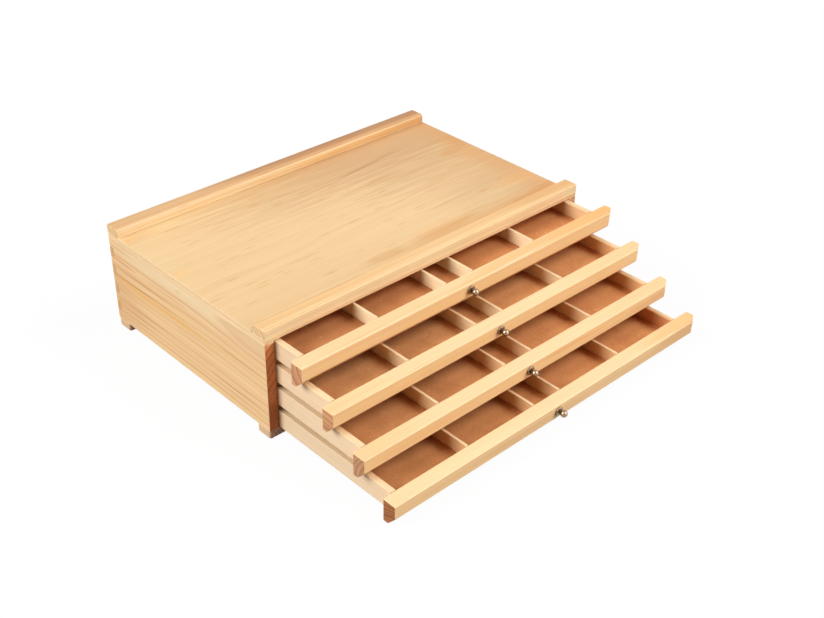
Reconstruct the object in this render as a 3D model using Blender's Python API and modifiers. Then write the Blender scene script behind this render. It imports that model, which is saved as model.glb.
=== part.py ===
"""Four-drawer wooden storage box for art supplies, with the drawers stepped open.

Metres, +Z up, the box stands on z = 0 and its drawers pull out along -Y.
Shapes are worked out in the case's own coordinates (x = 0 on the case's middle,
y = 0 on its front edge), and one empty moves them so that the world origin is
under the middle of the whole open box.
"""

import math

import bmesh
import bpy
from mathutils import Matrix, Vector

# Clearances
MESH_GAP = 0.0003
DRAWER_SIDE_CLEARANCE = 0.0007
DRAWER_REAR_CLEARANCE = 0.0012
RAIL_STOP_CLEARANCE = 0.0004
RAIL_GAP = 0.0023
RUNNER_CLEARANCE = 0.0009
TOP_DRAWER_CLEARANCE = 0.0011
KNOB_BORE_CLEARANCE = 0.0003

# Case
CASE_WIDTH = 0.390
CASE_DEPTH = 0.240
CASE_SIDE_THICKNESS = 0.010
CASE_BACK_THICKNESS = 0.006
CASE_BOTTOM_THICKNESS = 0.002
TOP_BOARD_THICKNESS = 0.004
CASE_EASE = 0.0005
CASE_BOTTOM_SETBACK = 0.0015
CASE_BOTTOM_INSET = 0.003
BOX_JOINT_FINGERS = 9

# Lips along the top
FRONT_LIP_DEPTH = 0.0162
REAR_LIP_DEPTH = 0.0172
LIP_HEIGHT = 0.0086
LIP_INNER_ROUND = 0.0026
LIP_OUTER_ROUND = 0.0009
LIP_END_EASE = 0.0002

# Feet
CASE_GROUND_GAP = 0.0068
FOOT_WIDTH = 0.019
FOOT_DEPTH = 0.018
FOOT_ROUND = 0.0024
FOOT_ROUND_STEPS = 3

# Runner strips
RUNNER_WIDTH = 0.007
RUNNER_HEIGHT = 0.0048
RUNNER_SETBACK = 0.0025
RUNNER_EASE = 0.0006

# Drawers
DRAWER_COUNT = 4
DRAWER_HEIGHT = 0.018
DRAWER_SIDE_THICKNESS = 0.006
DRAWER_BACK_THICKNESS = 0.006
DRAWER_BOTTOM_THICKNESS = 0.002
DRAWER_BOTTOM_RISE = 0.0024
PANEL_GROOVE_DEPTH = 0.0025
BOARD_EASE = 0.0004
PULLED_OUT = (0.0303, 0.0686, 0.1057, 0.1414)

# Front rails, whose right ends stand past the case and whose left ends stop short of it
RAIL_THICKNESS = 0.0146
RAIL_LEFT_INSET = 0.0017
RAIL_RIGHT_OVERHANG = 0.0085
RAIL_TOP_ROUND = 0.0010
RAIL_BACK_ROUND = 0.0018
RAIL_NOSE_ROUND = 0.0024
FINGER_PULL_HEIGHT = 0.0089
FINGER_PULL_DEPTH = 0.0081
RAIL_CORNER_CUT_LENGTH = 0.0100
RAIL_CORNER_CUT_DEPTH = 0.0066
RAIL_END_ROUND = 0.0025
SIDE_GROOVE_DEPTH = 0.003
JOINT_STOP = 0.004

# Dividers
DIVIDER_THICKNESS = 0.0026
CENTRE_BAY_WIDTH = 0.031
DIVIDER_GROOVE_DEPTH = 0.0018

# Knobs
KNOB_FLANGE_RADIUS = 0.0043
KNOB_FLANGE_THICKNESS = 0.0013
KNOB_FLANGE_RIM = 0.0006
KNOB_COLLAR_RADIUS = 0.0024
KNOB_WAIST_RADIUS = 0.0016
KNOB_NECK_RADIUS = 0.0019
KNOB_BALL_RADIUS = 0.0033
KNOB_BALL_REACH = 0.0058
KNOB_STUD_RADIUS = 0.0016
KNOB_BORE_END_WALL = 0.0052
KNOB_STEPS = 20
KNOB_BALL_STEPS = 9

# Mesh detail: distances in metres, angles in degrees
ARC_STEPS = 4
EASE_SEGMENTS = 2
EASE_ANGLE = 40
RAIL_SMOOTH_ANGLE = 32
KNOB_SMOOTH_ANGLE = 38
FLAT_ANGLE = 0.6
WELD_DISTANCE = 0.000001
KNOB_WELD_DISTANCE = 0.00001
CUTTER_MARGIN = 0.002
EMPTY_SIZE = 0.02

# Places worked out from the sizes above
DRAWER_PITCH = DRAWER_HEIGHT + RUNNER_CLEARANCE + RUNNER_HEIGHT + MESH_GAP
CASE_HALF = CASE_WIDTH / 2
CASE_INNER_HALF = CASE_HALF - CASE_SIDE_THICKNESS
CASE_BOTTOM_TOP = CASE_GROUND_GAP + CASE_BOTTOM_THICKNESS
FOOT_HEIGHT = CASE_BOTTOM_TOP
CASE_SIDE_Z = CASE_BOTTOM_TOP + MESH_GAP
LOWEST_DRAWER_Z = CASE_BOTTOM_TOP + MESH_GAP
TOP_DRAWER_Z = LOWEST_DRAWER_Z + (DRAWER_COUNT - 1) * DRAWER_PITCH
TOP_BOARD_Z = TOP_DRAWER_Z + DRAWER_HEIGHT + TOP_DRAWER_CLEARANCE
CASE_SIDE_TOP = TOP_BOARD_Z - MESH_GAP
TOP_SURFACE_Z = TOP_BOARD_Z + TOP_BOARD_THICKNESS
CASE_BACK_Y = CASE_DEPTH - CASE_BACK_THICKNESS

BOX_HALF = CASE_INNER_HALF - DRAWER_SIDE_CLEARANCE
BOX_INNER_HALF = BOX_HALF - DRAWER_SIDE_THICKNESS
BOX_END_Y = RAIL_THICKNESS + RAIL_STOP_CLEARANCE + CASE_BACK_Y - DRAWER_REAR_CLEARANCE
BOX_BACK_Y = BOX_END_Y - DRAWER_BACK_THICKNESS
BOX_FLOOR_Z = DRAWER_BOTTOM_RISE + DRAWER_BOTTOM_THICKNESS
BOX_WALL_Z = BOX_FLOOR_Z + MESH_GAP
JOINT_TOP = DRAWER_HEIGHT - JOINT_STOP

RAIL_HEIGHT = DRAWER_PITCH - RAIL_GAP
RAIL_LEFT_REACH = CASE_HALF - RAIL_LEFT_INSET
RAIL_RIGHT_REACH = CASE_HALF + RAIL_RIGHT_OVERHANG
KNOB_HEIGHT = DRAWER_HEIGHT - (RAIL_HEIGHT - FINGER_PULL_HEIGHT) / 2
KNOB_BORE_DEPTH = RAIL_THICKNESS - KNOB_BORE_END_WALL
KNOB_STUD_LENGTH = KNOB_BORE_DEPTH - MESH_GAP

CLOSED_FRONT_Y = -(RAIL_THICKNESS + RAIL_STOP_CLEARANCE)
KNOB_REACH = KNOB_BALL_REACH + KNOB_BALL_RADIUS
FRONT_REACH = CLOSED_FRONT_Y - max(PULLED_OUT) - KNOB_REACH
FRAME_X = (max(RAIL_RIGHT_REACH, CASE_HALF) - max(RAIL_LEFT_REACH, CASE_HALF)) / 2
FRAME_Y = (CASE_DEPTH + FRONT_REACH) / 2

# Colour, roughness and metallic value of each finish
FINISHES = {
    "pine": ((0.86, 0.62, 0.33), 0.55, 0.0),
    "pine_rail": ((0.90, 0.68, 0.36), 0.50, 0.0),
    "pine_pale": ((0.89, 0.64, 0.41), 0.60, 0.0),
    "plywood": ((0.88, 0.60, 0.30), 0.50, 0.0),
    "hardboard": ((0.42, 0.17, 0.06), 0.70, 0.0),
    "aged_metal": ((0.30, 0.26, 0.21), 0.32, 1.0),
}


def clear_scene():
    for item in list(bpy.data.objects):
        bpy.data.objects.remove(item, do_unlink=True)


def new_collection(name, hidden):
    collection = bpy.data.collections.new(name)
    bpy.context.scene.collection.children.link(collection)
    collection.hide_render = hidden
    return collection


def make_material(name, finish):
    colour, roughness, metallic = FINISHES[finish]
    material = bpy.data.materials.new(name)
    material.use_nodes = True
    shader = material.node_tree.nodes["Principled BSDF"]
    shader.inputs["Base Color"].default_value = (*colour, 1.0)
    shader.inputs["Roughness"].default_value = roughness
    shader.inputs["Metallic"].default_value = metallic
    material.diffuse_color = (*colour, 1.0)
    return material


def centred(mesh):
    """The mesh with its origin at the middle of its box, and where that middle was."""
    corners = [vert.co for vert in mesh.vertices]
    low = Vector([min(corner[axis] for corner in corners) for axis in range(3)])
    high = Vector([max(corner[axis] for corner in corners) for axis in range(3)])
    middle = (low + high) / 2
    mesh.transform(Matrix.Translation(-middle))
    return mesh, middle


def place(name, piece, finish, parent, shift=(0, 0, 0)):
    """A named sub-part with its own material, placed under its parent empty."""
    mesh, middle = piece
    item = bpy.data.objects.new(name, mesh)
    PARTS.objects.link(item)
    item.parent = parent
    item.location = middle + Vector(shift)
    if not mesh.materials:
        mesh.materials.append(None)
    item.material_slots[0].link = "OBJECT"
    item.material_slots[0].material = make_material(name, finish)
    return item


def empty(name, parent, location):
    item = bpy.data.objects.new(name, None)
    item.empty_display_size = EMPTY_SIZE
    PARTS.objects.link(item)
    item.parent = parent
    item.location = location
    return item


def box_mesh(name, low, high):
    """A closed box between two corners."""
    low = Vector(low)
    high = Vector(high)
    shape = bmesh.new()
    size = high - low
    middle = (high + low) / 2
    matrix = Matrix.Translation(middle) @ Matrix.Diagonal((*size, 1.0))
    bmesh.ops.create_cube(shape, size=1.0, matrix=matrix)
    mesh = bpy.data.meshes.new(name)
    shape.to_mesh(mesh)
    shape.free()
    return mesh


def arc(centre, radius, start, end):
    """Points on an arc from one angle to another, in degrees."""
    points = []
    for step in range(ARC_STEPS + 1):
        angle = math.radians(start + (end - start) * step / ARC_STEPS)
        points.append((centre[0] + radius * math.cos(angle), centre[1] + radius * math.sin(angle)))
    return points


def rounded_outline(corners):
    """An outline of (x, y, radius) corners, each sharp corner replaced by an arc."""
    points = []
    count = len(corners)
    for index, (x, y, radius) in enumerate(corners):
        here = Vector((x, y))
        if radius == 0:
            points.append((x, y))
            continue
        before = (Vector(corners[index - 1][:2]) - here).normalized()
        after = (Vector(corners[(index + 1) % count][:2]) - here).normalized()
        half = before.angle(after) / 2
        centre = here + (before + after).normalized() * radius / math.sin(half)
        tangent = radius / math.tan(half)
        first = here + before * tangent - centre
        last = here + after * tangent - centre
        start = math.atan2(first.y, first.x)
        turn = (math.atan2(last.y, last.x) - start + math.pi) % (2 * math.pi) - math.pi
        points += arc(centre, radius, math.degrees(start), math.degrees(start + turn))
    return points


def outline_mesh(name, points, thickness, axis, start):
    """A flat outline as thick as given, from start along the axis X, Y or Z.

    The outline's two coordinates are (y, z) for X, (x, z) for Y and (x, y) for Z.
    """
    curve = bpy.data.curves.new(name, "CURVE")
    curve.dimensions = "2D"
    curve.fill_mode = "BOTH"
    curve.extrude = thickness / 2
    spline = curve.splines.new("POLY")
    spline.points.add(len(points) - 1)
    for point, (x, y) in zip(spline.points, points):
        point.co = (x, y, 0.0, 1.0)
    spline.use_cyclic_u = True
    guide = bpy.data.objects.new(name, curve)
    CUTTERS.objects.link(guide)
    turn = {
        "X": Matrix(((0, 0, 1, 0), (1, 0, 0, 0), (0, 1, 0, 0), (0, 0, 0, 1))),
        "Y": Matrix(((1, 0, 0, 0), (0, 0, -1, 0), (0, 1, 0, 0), (0, 0, 0, 1))),
        "Z": Matrix.Identity(4),
    }[axis]
    shift = {"X": (1, 0, 0), "Y": (0, 1, 0), "Z": (0, 0, 1)}[axis]
    offset = Vector(shift) * (start + thickness / 2)
    bpy.context.view_layer.update()
    graph = bpy.context.evaluated_depsgraph_get()
    mesh = bpy.data.meshes.new_from_object(guide.evaluated_get(graph))
    bpy.data.objects.remove(guide, do_unlink=True)
    shape = bmesh.new()
    shape.from_mesh(mesh)
    bmesh.ops.remove_doubles(shape, verts=shape.verts, dist=WELD_DISTANCE)
    bmesh.ops.dissolve_limit(shape, angle_limit=math.radians(FLAT_ANGLE), verts=shape.verts,
                             edges=shape.edges)
    bmesh.ops.transform(shape, matrix=Matrix.Translation(offset) @ turn, verts=shape.verts)
    bmesh.ops.recalc_face_normals(shape, faces=shape.faces)
    shape.to_mesh(mesh)
    shape.free()
    mesh.materials.clear()
    return mesh


def guide_object(name, mesh):
    """A cutter or a blank, kept out of the part."""
    item = bpy.data.objects.new(name, mesh)
    CUTTERS.objects.link(item)
    item.hide_render = True
    item.display_type = "WIRE"
    return item


def shaped(name, blank, steps):
    """The mesh of a blank after Bevel and Boolean steps."""
    item = guide_object(name + "_blank", blank)
    for kind, value in steps:
        if kind == "ease":
            ease = item.modifiers.new("ease", "BEVEL")
            ease.width = value
            ease.segments = EASE_SEGMENTS
            ease.limit_method = "ANGLE"
            ease.angle_limit = math.radians(EASE_ANGLE)
        else:
            cut = item.modifiers.new(kind, "BOOLEAN")
            cut.operation = kind
            cut.solver = "EXACT"
            cut.object = value
    bpy.context.view_layer.update()
    graph = bpy.context.evaluated_depsgraph_get()
    mesh = bpy.data.meshes.new_from_object(item.evaluated_get(graph))
    mesh.name = name
    item.hide_viewport = True
    return mesh


def eased_box(name, low, high, ease):
    return shaped(name, box_mesh(name, low, high), [("ease", ease)])


def smooth_round(mesh, angle):
    """Smooth shading with the corners above an angle kept sharp."""
    mesh.shade_smooth()
    mesh.set_sharp_from_angle(angle=math.radians(angle))


def join_cutters(name, meshes):
    """One cutter made of several separate closed shapes."""
    shape = bmesh.new()
    for mesh in meshes:
        shape.from_mesh(mesh)
    result = bpy.data.meshes.new(name)
    shape.to_mesh(result)
    shape.free()
    return guide_object(name, result)


# Case

def finger_levels():
    """Heights of the box joint's finger edges, from the bottom of the sides up."""
    step = (CASE_SIDE_TOP - CASE_SIDE_Z) / BOX_JOINT_FINGERS
    return [CASE_SIDE_Z + step * index for index in range(BOX_JOINT_FINGERS + 1)]


def finger_notches(name, first, widen, low, high):
    """Notches at every other finger, counted from the first, between two (x, y) corners."""
    levels = finger_levels()
    boxes = []
    for index in range(first, BOX_JOINT_FINGERS, 2):
        lowest = index == 0
        highest = index == BOX_JOINT_FINGERS - 1
        bottom = levels[index] - (CUTTER_MARGIN if lowest else widen)
        top = levels[index + 1] + (CUTTER_MARGIN if highest else widen)
        boxes.append(box_mesh(name, (*low, bottom), (*high, top)))
    return boxes


def case_side_mesh(name, start):
    """A side board whose rear edge is notched for the back's fingers."""
    end = start + CASE_SIDE_THICKNESS
    blank = box_mesh(name, (start, 0.0, CASE_SIDE_Z), (end, CASE_DEPTH, CASE_SIDE_TOP))
    notches = finger_notches("side_notches", 1, 0.0, (start - MESH_GAP, CASE_BACK_Y - MESH_GAP),
                             (end + MESH_GAP, CASE_DEPTH + MESH_GAP))
    return shaped(name, blank, [
        ("ease", CASE_EASE),
        ("DIFFERENCE", join_cutters("side_notches", notches)),
    ])


def case_back_mesh(name):
    """The back board, its ends notched so that its fingers pass between the sides' own."""
    blank = box_mesh(name, (-CASE_HALF, CASE_BACK_Y, CASE_SIDE_Z),
                     (CASE_HALF, CASE_DEPTH, CASE_SIDE_TOP))
    inner = CASE_INNER_HALF - MESH_GAP
    outer = CASE_HALF + MESH_GAP
    notches = []
    for ends in ((-outer, -inner), (inner, outer)):
        notches += finger_notches("back_notches", 0, MESH_GAP,
                                  (ends[0], CASE_BACK_Y - MESH_GAP),
                                  (ends[1], CASE_DEPTH + MESH_GAP))
    return shaped(name, blank, [
        ("ease", CASE_EASE),
        ("DIFFERENCE", join_cutters("back_notches", notches)),
    ])


def lip_mesh(name, front_y, depth, rounded_front):
    """A lip along the top: its inner top edge is rounded more than its outer one."""
    bottom = TOP_SURFACE_Z + MESH_GAP
    top = bottom + LIP_HEIGHT
    front_round = LIP_INNER_ROUND if rounded_front else LIP_OUTER_ROUND
    back_round = LIP_OUTER_ROUND if rounded_front else LIP_INNER_ROUND
    outline = rounded_outline([
        (front_y, bottom, 0),
        (front_y + depth, bottom, 0),
        (front_y + depth, top, back_round),
        (front_y, top, front_round),
    ])
    return shaped(name, outline_mesh(name, outline, CASE_WIDTH, "X", -CASE_HALF),
                  [("ease", LIP_END_EASE)])


def foot_mesh(name, low_x, low_y):
    """A foot block with its bottom edges and corners rounded, its top left flat."""
    outline = rounded_outline([
        (low_x, low_y, FOOT_ROUND),
        (low_x + FOOT_WIDTH, low_y, FOOT_ROUND),
        (low_x + FOOT_WIDTH, low_y + FOOT_DEPTH, FOOT_ROUND),
        (low_x, low_y + FOOT_DEPTH, FOOT_ROUND),
    ])
    mesh = outline_mesh(name, outline, FOOT_HEIGHT, "Z", 0.0)
    shape = bmesh.new()
    shape.from_mesh(mesh)
    rim = [edge for edge in shape.edges if all(vert.co.z < MESH_GAP for vert in edge.verts)]
    bmesh.ops.bevel(shape, geom=rim, offset=FOOT_ROUND - MESH_GAP, segments=FOOT_ROUND_STEPS,
                    affect="EDGES", profile=0.5)
    shape.to_mesh(mesh)
    shape.free()
    return mesh


def case_bottom_mesh(name):
    """The bottom panel under the sides and back, its corners cut out round the feet."""
    half = CASE_HALF - CASE_BOTTOM_INSET
    front = CASE_BOTTOM_SETBACK
    rear = CASE_DEPTH - CASE_BOTTOM_INSET
    cut_x = CASE_HALF - FOOT_WIDTH - MESH_GAP
    cut_front = FOOT_DEPTH + MESH_GAP
    cut_rear = CASE_DEPTH - FOOT_DEPTH - MESH_GAP
    right = [
        (cut_x, front),
        (cut_x, cut_front),
        (half, cut_front),
        (half, cut_rear),
        (cut_x, cut_rear),
        (cut_x, rear),
    ]
    left = [(-x, y) for x, y in reversed(right)]
    return outline_mesh(name, right + left, CASE_BOTTOM_THICKNESS, "Z", CASE_GROUND_GAP)


def make_case(frame):
    for name, start in (("case_left_side", -CASE_HALF), ("case_right_side", CASE_INNER_HALF)):
        place(name, centred(case_side_mesh(name, start)), "pine", frame)
    place("case_back_panel", centred(case_back_mesh("case_back_panel")), "pine", frame)

    mesh = eased_box("case_top_board", (-CASE_HALF, 0.0, TOP_BOARD_Z),
                     (CASE_HALF, CASE_DEPTH, TOP_SURFACE_Z), CASE_EASE)
    place("case_top_board", centred(mesh), "plywood", frame)

    mesh = case_bottom_mesh("case_bottom_panel")
    place("case_bottom_panel", centred(mesh), "hardboard", frame)

    mesh = lip_mesh("front_lip", 0.0, FRONT_LIP_DEPTH, False)
    place("front_lip", centred(mesh), "pine", frame)
    mesh = lip_mesh("rear_lip", CASE_DEPTH - REAR_LIP_DEPTH, REAR_LIP_DEPTH, True)
    place("rear_lip", centred(mesh), "pine", frame)

    for end, low_y in (("front", 0.0), ("rear", CASE_DEPTH - FOOT_DEPTH)):
        for hand, low_x in (("left", -CASE_HALF), ("right", CASE_HALF - FOOT_WIDTH)):
            name = "foot_" + end + "_" + hand
            place(name, centred(foot_mesh(name, low_x, low_y)), "pine", frame)


def make_runners(frame):
    """Strips on the case's inner faces, under each drawer but the lowest."""
    outer = CASE_INNER_HALF - MESH_GAP
    for number in range(1, DRAWER_COUNT):
        top = drawer_z(number) - MESH_GAP
        for hand, side in (("left", -1), ("right", 1)):
            name = "runner_" + str(number) + "_" + hand
            ends = sorted((side * outer, side * (outer - RUNNER_WIDTH)))
            mesh = eased_box(name, (ends[0], RUNNER_SETBACK, top - RUNNER_HEIGHT),
                             (ends[1], CASE_BACK_Y - MESH_GAP, top), RUNNER_EASE)
            place(name, centred(mesh), "pine_pale", frame)


# Drawers: local y = 0 on the rail's front face, local z = 0 under the drawer's sides

def drawer_z(number):
    return TOP_DRAWER_Z - (number - 1) * DRAWER_PITCH


def divider_centres():
    """The dividers' middles in x: a narrow centre bay and equal bays beside it."""
    inner = (CENTRE_BAY_WIDTH + DIVIDER_THICKNESS) / 2
    outer = (inner + BOX_INNER_HALF) / 2 + DIVIDER_THICKNESS / 4
    return (-outer, -inner, inner, outer)


def rail_section():
    """The rail's (y, z) outline: a finger pull cut under its front, rounded edges."""
    top = DRAWER_HEIGHT
    bottom = DRAWER_HEIGHT - RAIL_HEIGHT
    return rounded_outline([
        (0.0, top, RAIL_TOP_ROUND),
        (0.0, bottom + FINGER_PULL_HEIGHT, RAIL_TOP_ROUND),
        (FINGER_PULL_DEPTH, bottom, RAIL_NOSE_ROUND),
        (RAIL_THICKNESS, bottom, RAIL_BACK_ROUND),
        (RAIL_THICKNESS, top, 0),
    ])


def rail_plan():
    """The rail's (x, y) outline: square left end, right end with its front corner cut."""
    cut_x = RAIL_RIGHT_REACH - RAIL_CORNER_CUT_LENGTH
    return rounded_outline([
        (-RAIL_LEFT_REACH, 0.0, 0),
        (cut_x, 0.0, RAIL_END_ROUND),
        (RAIL_RIGHT_REACH, RAIL_CORNER_CUT_DEPTH, RAIL_END_ROUND),
        (RAIL_RIGHT_REACH, RAIL_THICKNESS, RAIL_END_ROUND),
        (-RAIL_LEFT_REACH, RAIL_THICKNESS, RAIL_END_ROUND),
    ])


def upright_groove(name, centre_x, width, y_range, z_range):
    """The cutter for a groove that lets in the end of a board as thick as the given width."""
    half = width / 2 + MESH_GAP
    return box_mesh(name, (centre_x - half, y_range[0], z_range[0]),
                    (centre_x + half, y_range[1], z_range[1]))


def panel_groove(name, x_range, y_range):
    """The cutter for the level groove that lets in the drawer's bottom panel."""
    return box_mesh(name, (x_range[0], y_range[0], DRAWER_BOTTOM_RISE - MESH_GAP),
                    (x_range[1], y_range[1], BOX_FLOOR_Z + MESH_GAP))


def bore_mesh():
    """The blind hole for the knob's stud, from the rail's front face."""
    shape = bmesh.new()
    length = KNOB_BORE_DEPTH + MESH_GAP
    turn = Matrix.Rotation(math.pi / 2, 4, "X")
    middle = Matrix.Translation((0.0, KNOB_BORE_DEPTH - length / 2, KNOB_HEIGHT))
    radius = KNOB_STUD_RADIUS + KNOB_BORE_CLEARANCE
    bmesh.ops.create_cone(shape, cap_ends=True, segments=KNOB_STEPS, radius1=radius,
                          radius2=radius, depth=length, matrix=middle @ turn)
    mesh = bpy.data.meshes.new("knob_bore")
    shape.to_mesh(mesh)
    shape.free()
    return mesh


def rail_mesh():
    """The rail: its section carried along X, ends cut to plan, then grooved and bored.

    The grooves at its back stop short of the top, so that no joint shows from above.
    """
    length = RAIL_LEFT_REACH + RAIL_RIGHT_REACH
    blank = outline_mesh("front_rail", rail_section(), length, "X", -RAIL_LEFT_REACH)
    plan = outline_mesh("rail_plan", rail_plan(), RAIL_HEIGHT + 2 * CUTTER_MARGIN, "Z",
                        DRAWER_HEIGHT - RAIL_HEIGHT - CUTTER_MARGIN)
    side_x = BOX_HALF - DRAWER_SIDE_THICKNESS / 2
    past_back = RAIL_THICKNESS + MESH_GAP
    stop = JOINT_TOP + MESH_GAP
    cuts = []
    for side in (-1, 1):
        cuts.append(upright_groove("side_groove", side * side_x, DRAWER_SIDE_THICKNESS,
                                   (RAIL_THICKNESS - SIDE_GROOVE_DEPTH, past_back),
                                   (-MESH_GAP, stop)))
    for centre in divider_centres():
        cuts.append(upright_groove("divider_groove", centre, DIVIDER_THICKNESS,
                                   (RAIL_THICKNESS - DIVIDER_GROOVE_DEPTH, past_back),
                                   (BOX_FLOOR_Z, stop)))
    cuts.append(bore_mesh())
    reach = BOX_INNER_HALF + PANEL_GROOVE_DEPTH
    level = panel_groove("rail_panel_groove", (-reach, reach),
                         (RAIL_THICKNESS - PANEL_GROOVE_DEPTH, past_back))
    mesh = shaped("front_rail", blank, [
        ("INTERSECT", guide_object("rail_plan", plan)),
        ("DIFFERENCE", join_cutters("rail_cuts", cuts)),
        ("DIFFERENCE", guide_object("rail_panel_groove", level)),
    ])
    smooth_round(mesh, RAIL_SMOOTH_ANGLE)
    return mesh


def tongued_outline(front, rear, bottom):
    """A board's (y, z) outline whose front end is stepped to a tongue under the rail's top."""
    shoulder = RAIL_THICKNESS + MESH_GAP
    return [
        (front, bottom),
        (rear, bottom),
        (rear, DRAWER_HEIGHT),
        (shoulder, DRAWER_HEIGHT),
        (shoulder, JOINT_TOP),
        (front, JOINT_TOP),
    ]


def side_mesh(side):
    """A drawer side, its tongue let into the rail and its inner face grooved for the panel."""
    outer_end = min(side * BOX_HALF, side * BOX_INNER_HALF)
    front = RAIL_THICKNESS - SIDE_GROOVE_DEPTH + MESH_GAP
    blank = outline_mesh("drawer_side", tongued_outline(front, BOX_END_Y, 0.0),
                         DRAWER_SIDE_THICKNESS, "X", outer_end)
    groove_ends = sorted((side * (BOX_INNER_HALF - MESH_GAP),
                          side * (BOX_INNER_HALF + PANEL_GROOVE_DEPTH)))
    level = panel_groove("side_panel_groove", groove_ends,
                         (front - CUTTER_MARGIN, BOX_END_Y + CUTTER_MARGIN))
    return shaped("drawer_side", blank, [
        ("ease", BOARD_EASE),
        ("DIFFERENCE", guide_object("side_panel_groove", level)),
    ])


def back_mesh():
    """The drawer's back board between its sides, on the panel, grooved for the dividers."""
    inner = BOX_INNER_HALF - MESH_GAP
    blank = box_mesh("drawer_back", (-inner, BOX_BACK_Y, BOX_WALL_Z),
                     (inner, BOX_END_Y, DRAWER_HEIGHT))
    depths = (BOX_BACK_Y - MESH_GAP, BOX_BACK_Y + DIVIDER_GROOVE_DEPTH)
    heights = (BOX_FLOOR_Z, DRAWER_HEIGHT + CUTTER_MARGIN)
    cuts = [upright_groove("back_groove", centre, DIVIDER_THICKNESS, depths, heights)
            for centre in divider_centres()]
    return shaped("drawer_back", blank, [
        ("ease", BOARD_EASE),
        ("DIFFERENCE", join_cutters("back_cuts", cuts)),
    ])


def bottom_mesh():
    """The bottom panel: in the sides' and the rail's grooves, and on under the back board."""
    half = BOX_INNER_HALF + PANEL_GROOVE_DEPTH - MESH_GAP
    front = RAIL_THICKNESS - PANEL_GROOVE_DEPTH + MESH_GAP
    return box_mesh("drawer_bottom", (-half, front, DRAWER_BOTTOM_RISE),
                    (half, BOX_END_Y, BOX_FLOOR_Z))


def divider_mesh():
    """A divider centred on x = 0, its ends let into the rail and the back board."""
    front = RAIL_THICKNESS - DIVIDER_GROOVE_DEPTH + MESH_GAP
    rear = BOX_BACK_Y + DIVIDER_GROOVE_DEPTH - MESH_GAP
    blank = outline_mesh("divider", tongued_outline(front, rear, BOX_WALL_Z), DIVIDER_THICKNESS,
                         "X", -DIVIDER_THICKNESS / 2)
    return shaped("divider", blank, [("ease", BOARD_EASE)])


def knob_profile():
    """The knob's (radius, reach) outline from the ball's tip to the stud's end.

    A ball on a waisted neck, a dished flange against the rail, and the stud behind.
    """
    flange_back = MESH_GAP
    flange_front = flange_back + KNOB_FLANGE_THICKNESS
    rim = flange_back + KNOB_FLANGE_RIM
    ball_end = math.pi - math.asin(KNOB_NECK_RADIUS / KNOB_BALL_RADIUS)
    points = [(0.0, KNOB_BALL_REACH + KNOB_BALL_RADIUS)]
    for step in range(1, KNOB_BALL_STEPS + 1):
        angle = ball_end * step / KNOB_BALL_STEPS
        points.append((KNOB_BALL_RADIUS * math.sin(angle),
                       KNOB_BALL_REACH + KNOB_BALL_RADIUS * math.cos(angle)))
    waist = (points[-1][1] + flange_front) / 2
    points.append((KNOB_WAIST_RADIUS, waist))
    points.append((KNOB_COLLAR_RADIUS, flange_front))
    points.append((KNOB_FLANGE_RADIUS, rim))
    points.append((KNOB_FLANGE_RADIUS, flange_back))
    points.append((KNOB_STUD_RADIUS, flange_back))
    points.append((KNOB_STUD_RADIUS, -KNOB_STUD_LENGTH))
    points.append((0.0, -KNOB_STUD_LENGTH))
    return points


def knob_mesh():
    """The profile turned round the knob's axis, which then points along -Y."""
    shape = bmesh.new()
    verts = [shape.verts.new((radius, 0.0, reach)) for radius, reach in knob_profile()]
    for first, second in zip(verts, verts[1:]):
        shape.edges.new((first, second))
    blank = bpy.data.meshes.new("knob")
    shape.to_mesh(blank)
    shape.free()
    item = guide_object("knob_profile", blank)
    screw = item.modifiers.new("turn", "SCREW")
    screw.axis = "Z"
    screw.steps = KNOB_STEPS
    screw.render_steps = KNOB_STEPS
    screw.use_merge_vertices = True
    screw.merge_threshold = KNOB_WELD_DISTANCE
    bpy.context.view_layer.update()
    graph = bpy.context.evaluated_depsgraph_get()
    mesh = bpy.data.meshes.new_from_object(item.evaluated_get(graph))
    item.hide_viewport = True
    mesh.transform(Matrix.Rotation(math.pi / 2, 4, "X"))
    smooth_round(mesh, KNOB_SMOOTH_ANGLE)
    return mesh


def make_drawers(frame):
    rail = centred(rail_mesh())
    left = centred(side_mesh(-1))
    right = centred(side_mesh(1))
    back = centred(back_mesh())
    bottom = centred(bottom_mesh())
    divider = centred(divider_mesh())
    knob = (knob_mesh(), Vector((0.0, 0.0, KNOB_HEIGHT)))
    for number in range(1, DRAWER_COUNT + 1):
        name = "drawer_" + str(number)
        front_y = CLOSED_FRONT_Y - PULLED_OUT[number - 1]
        slide = empty(name + "_slide", frame, (0.0, front_y, drawer_z(number)))
        place(name + "_front_rail", rail, "pine_rail", slide)
        place(name + "_left_side", left, "pine_pale", slide)
        place(name + "_right_side", right, "pine_pale", slide)
        place(name + "_back", back, "pine_pale", slide)
        place(name + "_bottom_panel", bottom, "hardboard", slide)
        for index, centre in enumerate(divider_centres()):
            place(name + "_divider_" + str(index + 1), divider, "pine_pale", slide,
                  (centre, 0.0, 0.0))
        place(name + "_knob", knob, "aged_metal", slide)


clear_scene()
PARTS = new_collection("art_supply_box", False)
CUTTERS = new_collection("cutters_and_blanks", True)
BOX_FRAME = empty("box_frame", None, (-FRAME_X, -FRAME_Y, 0.0))
make_case(BOX_FRAME)
make_runners(BOX_FRAME)
make_drawers(BOX_FRAME)
bpy.context.view_layer.update()
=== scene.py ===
"""Looks of a pine art supply box with four stepped drawers, on a plain white floor.

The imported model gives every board's place. Boards whose solid is right keep it and get
their wood here. The front rails, lips, feet and knobs are drawn again with smooth edges.
Metres, +Z up; every colour is written as the screen shows it, from 0 to 255.
"""

import math

import bmesh
import bpy
import numpy as np
from mathutils import Euler, Matrix, Vector


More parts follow.
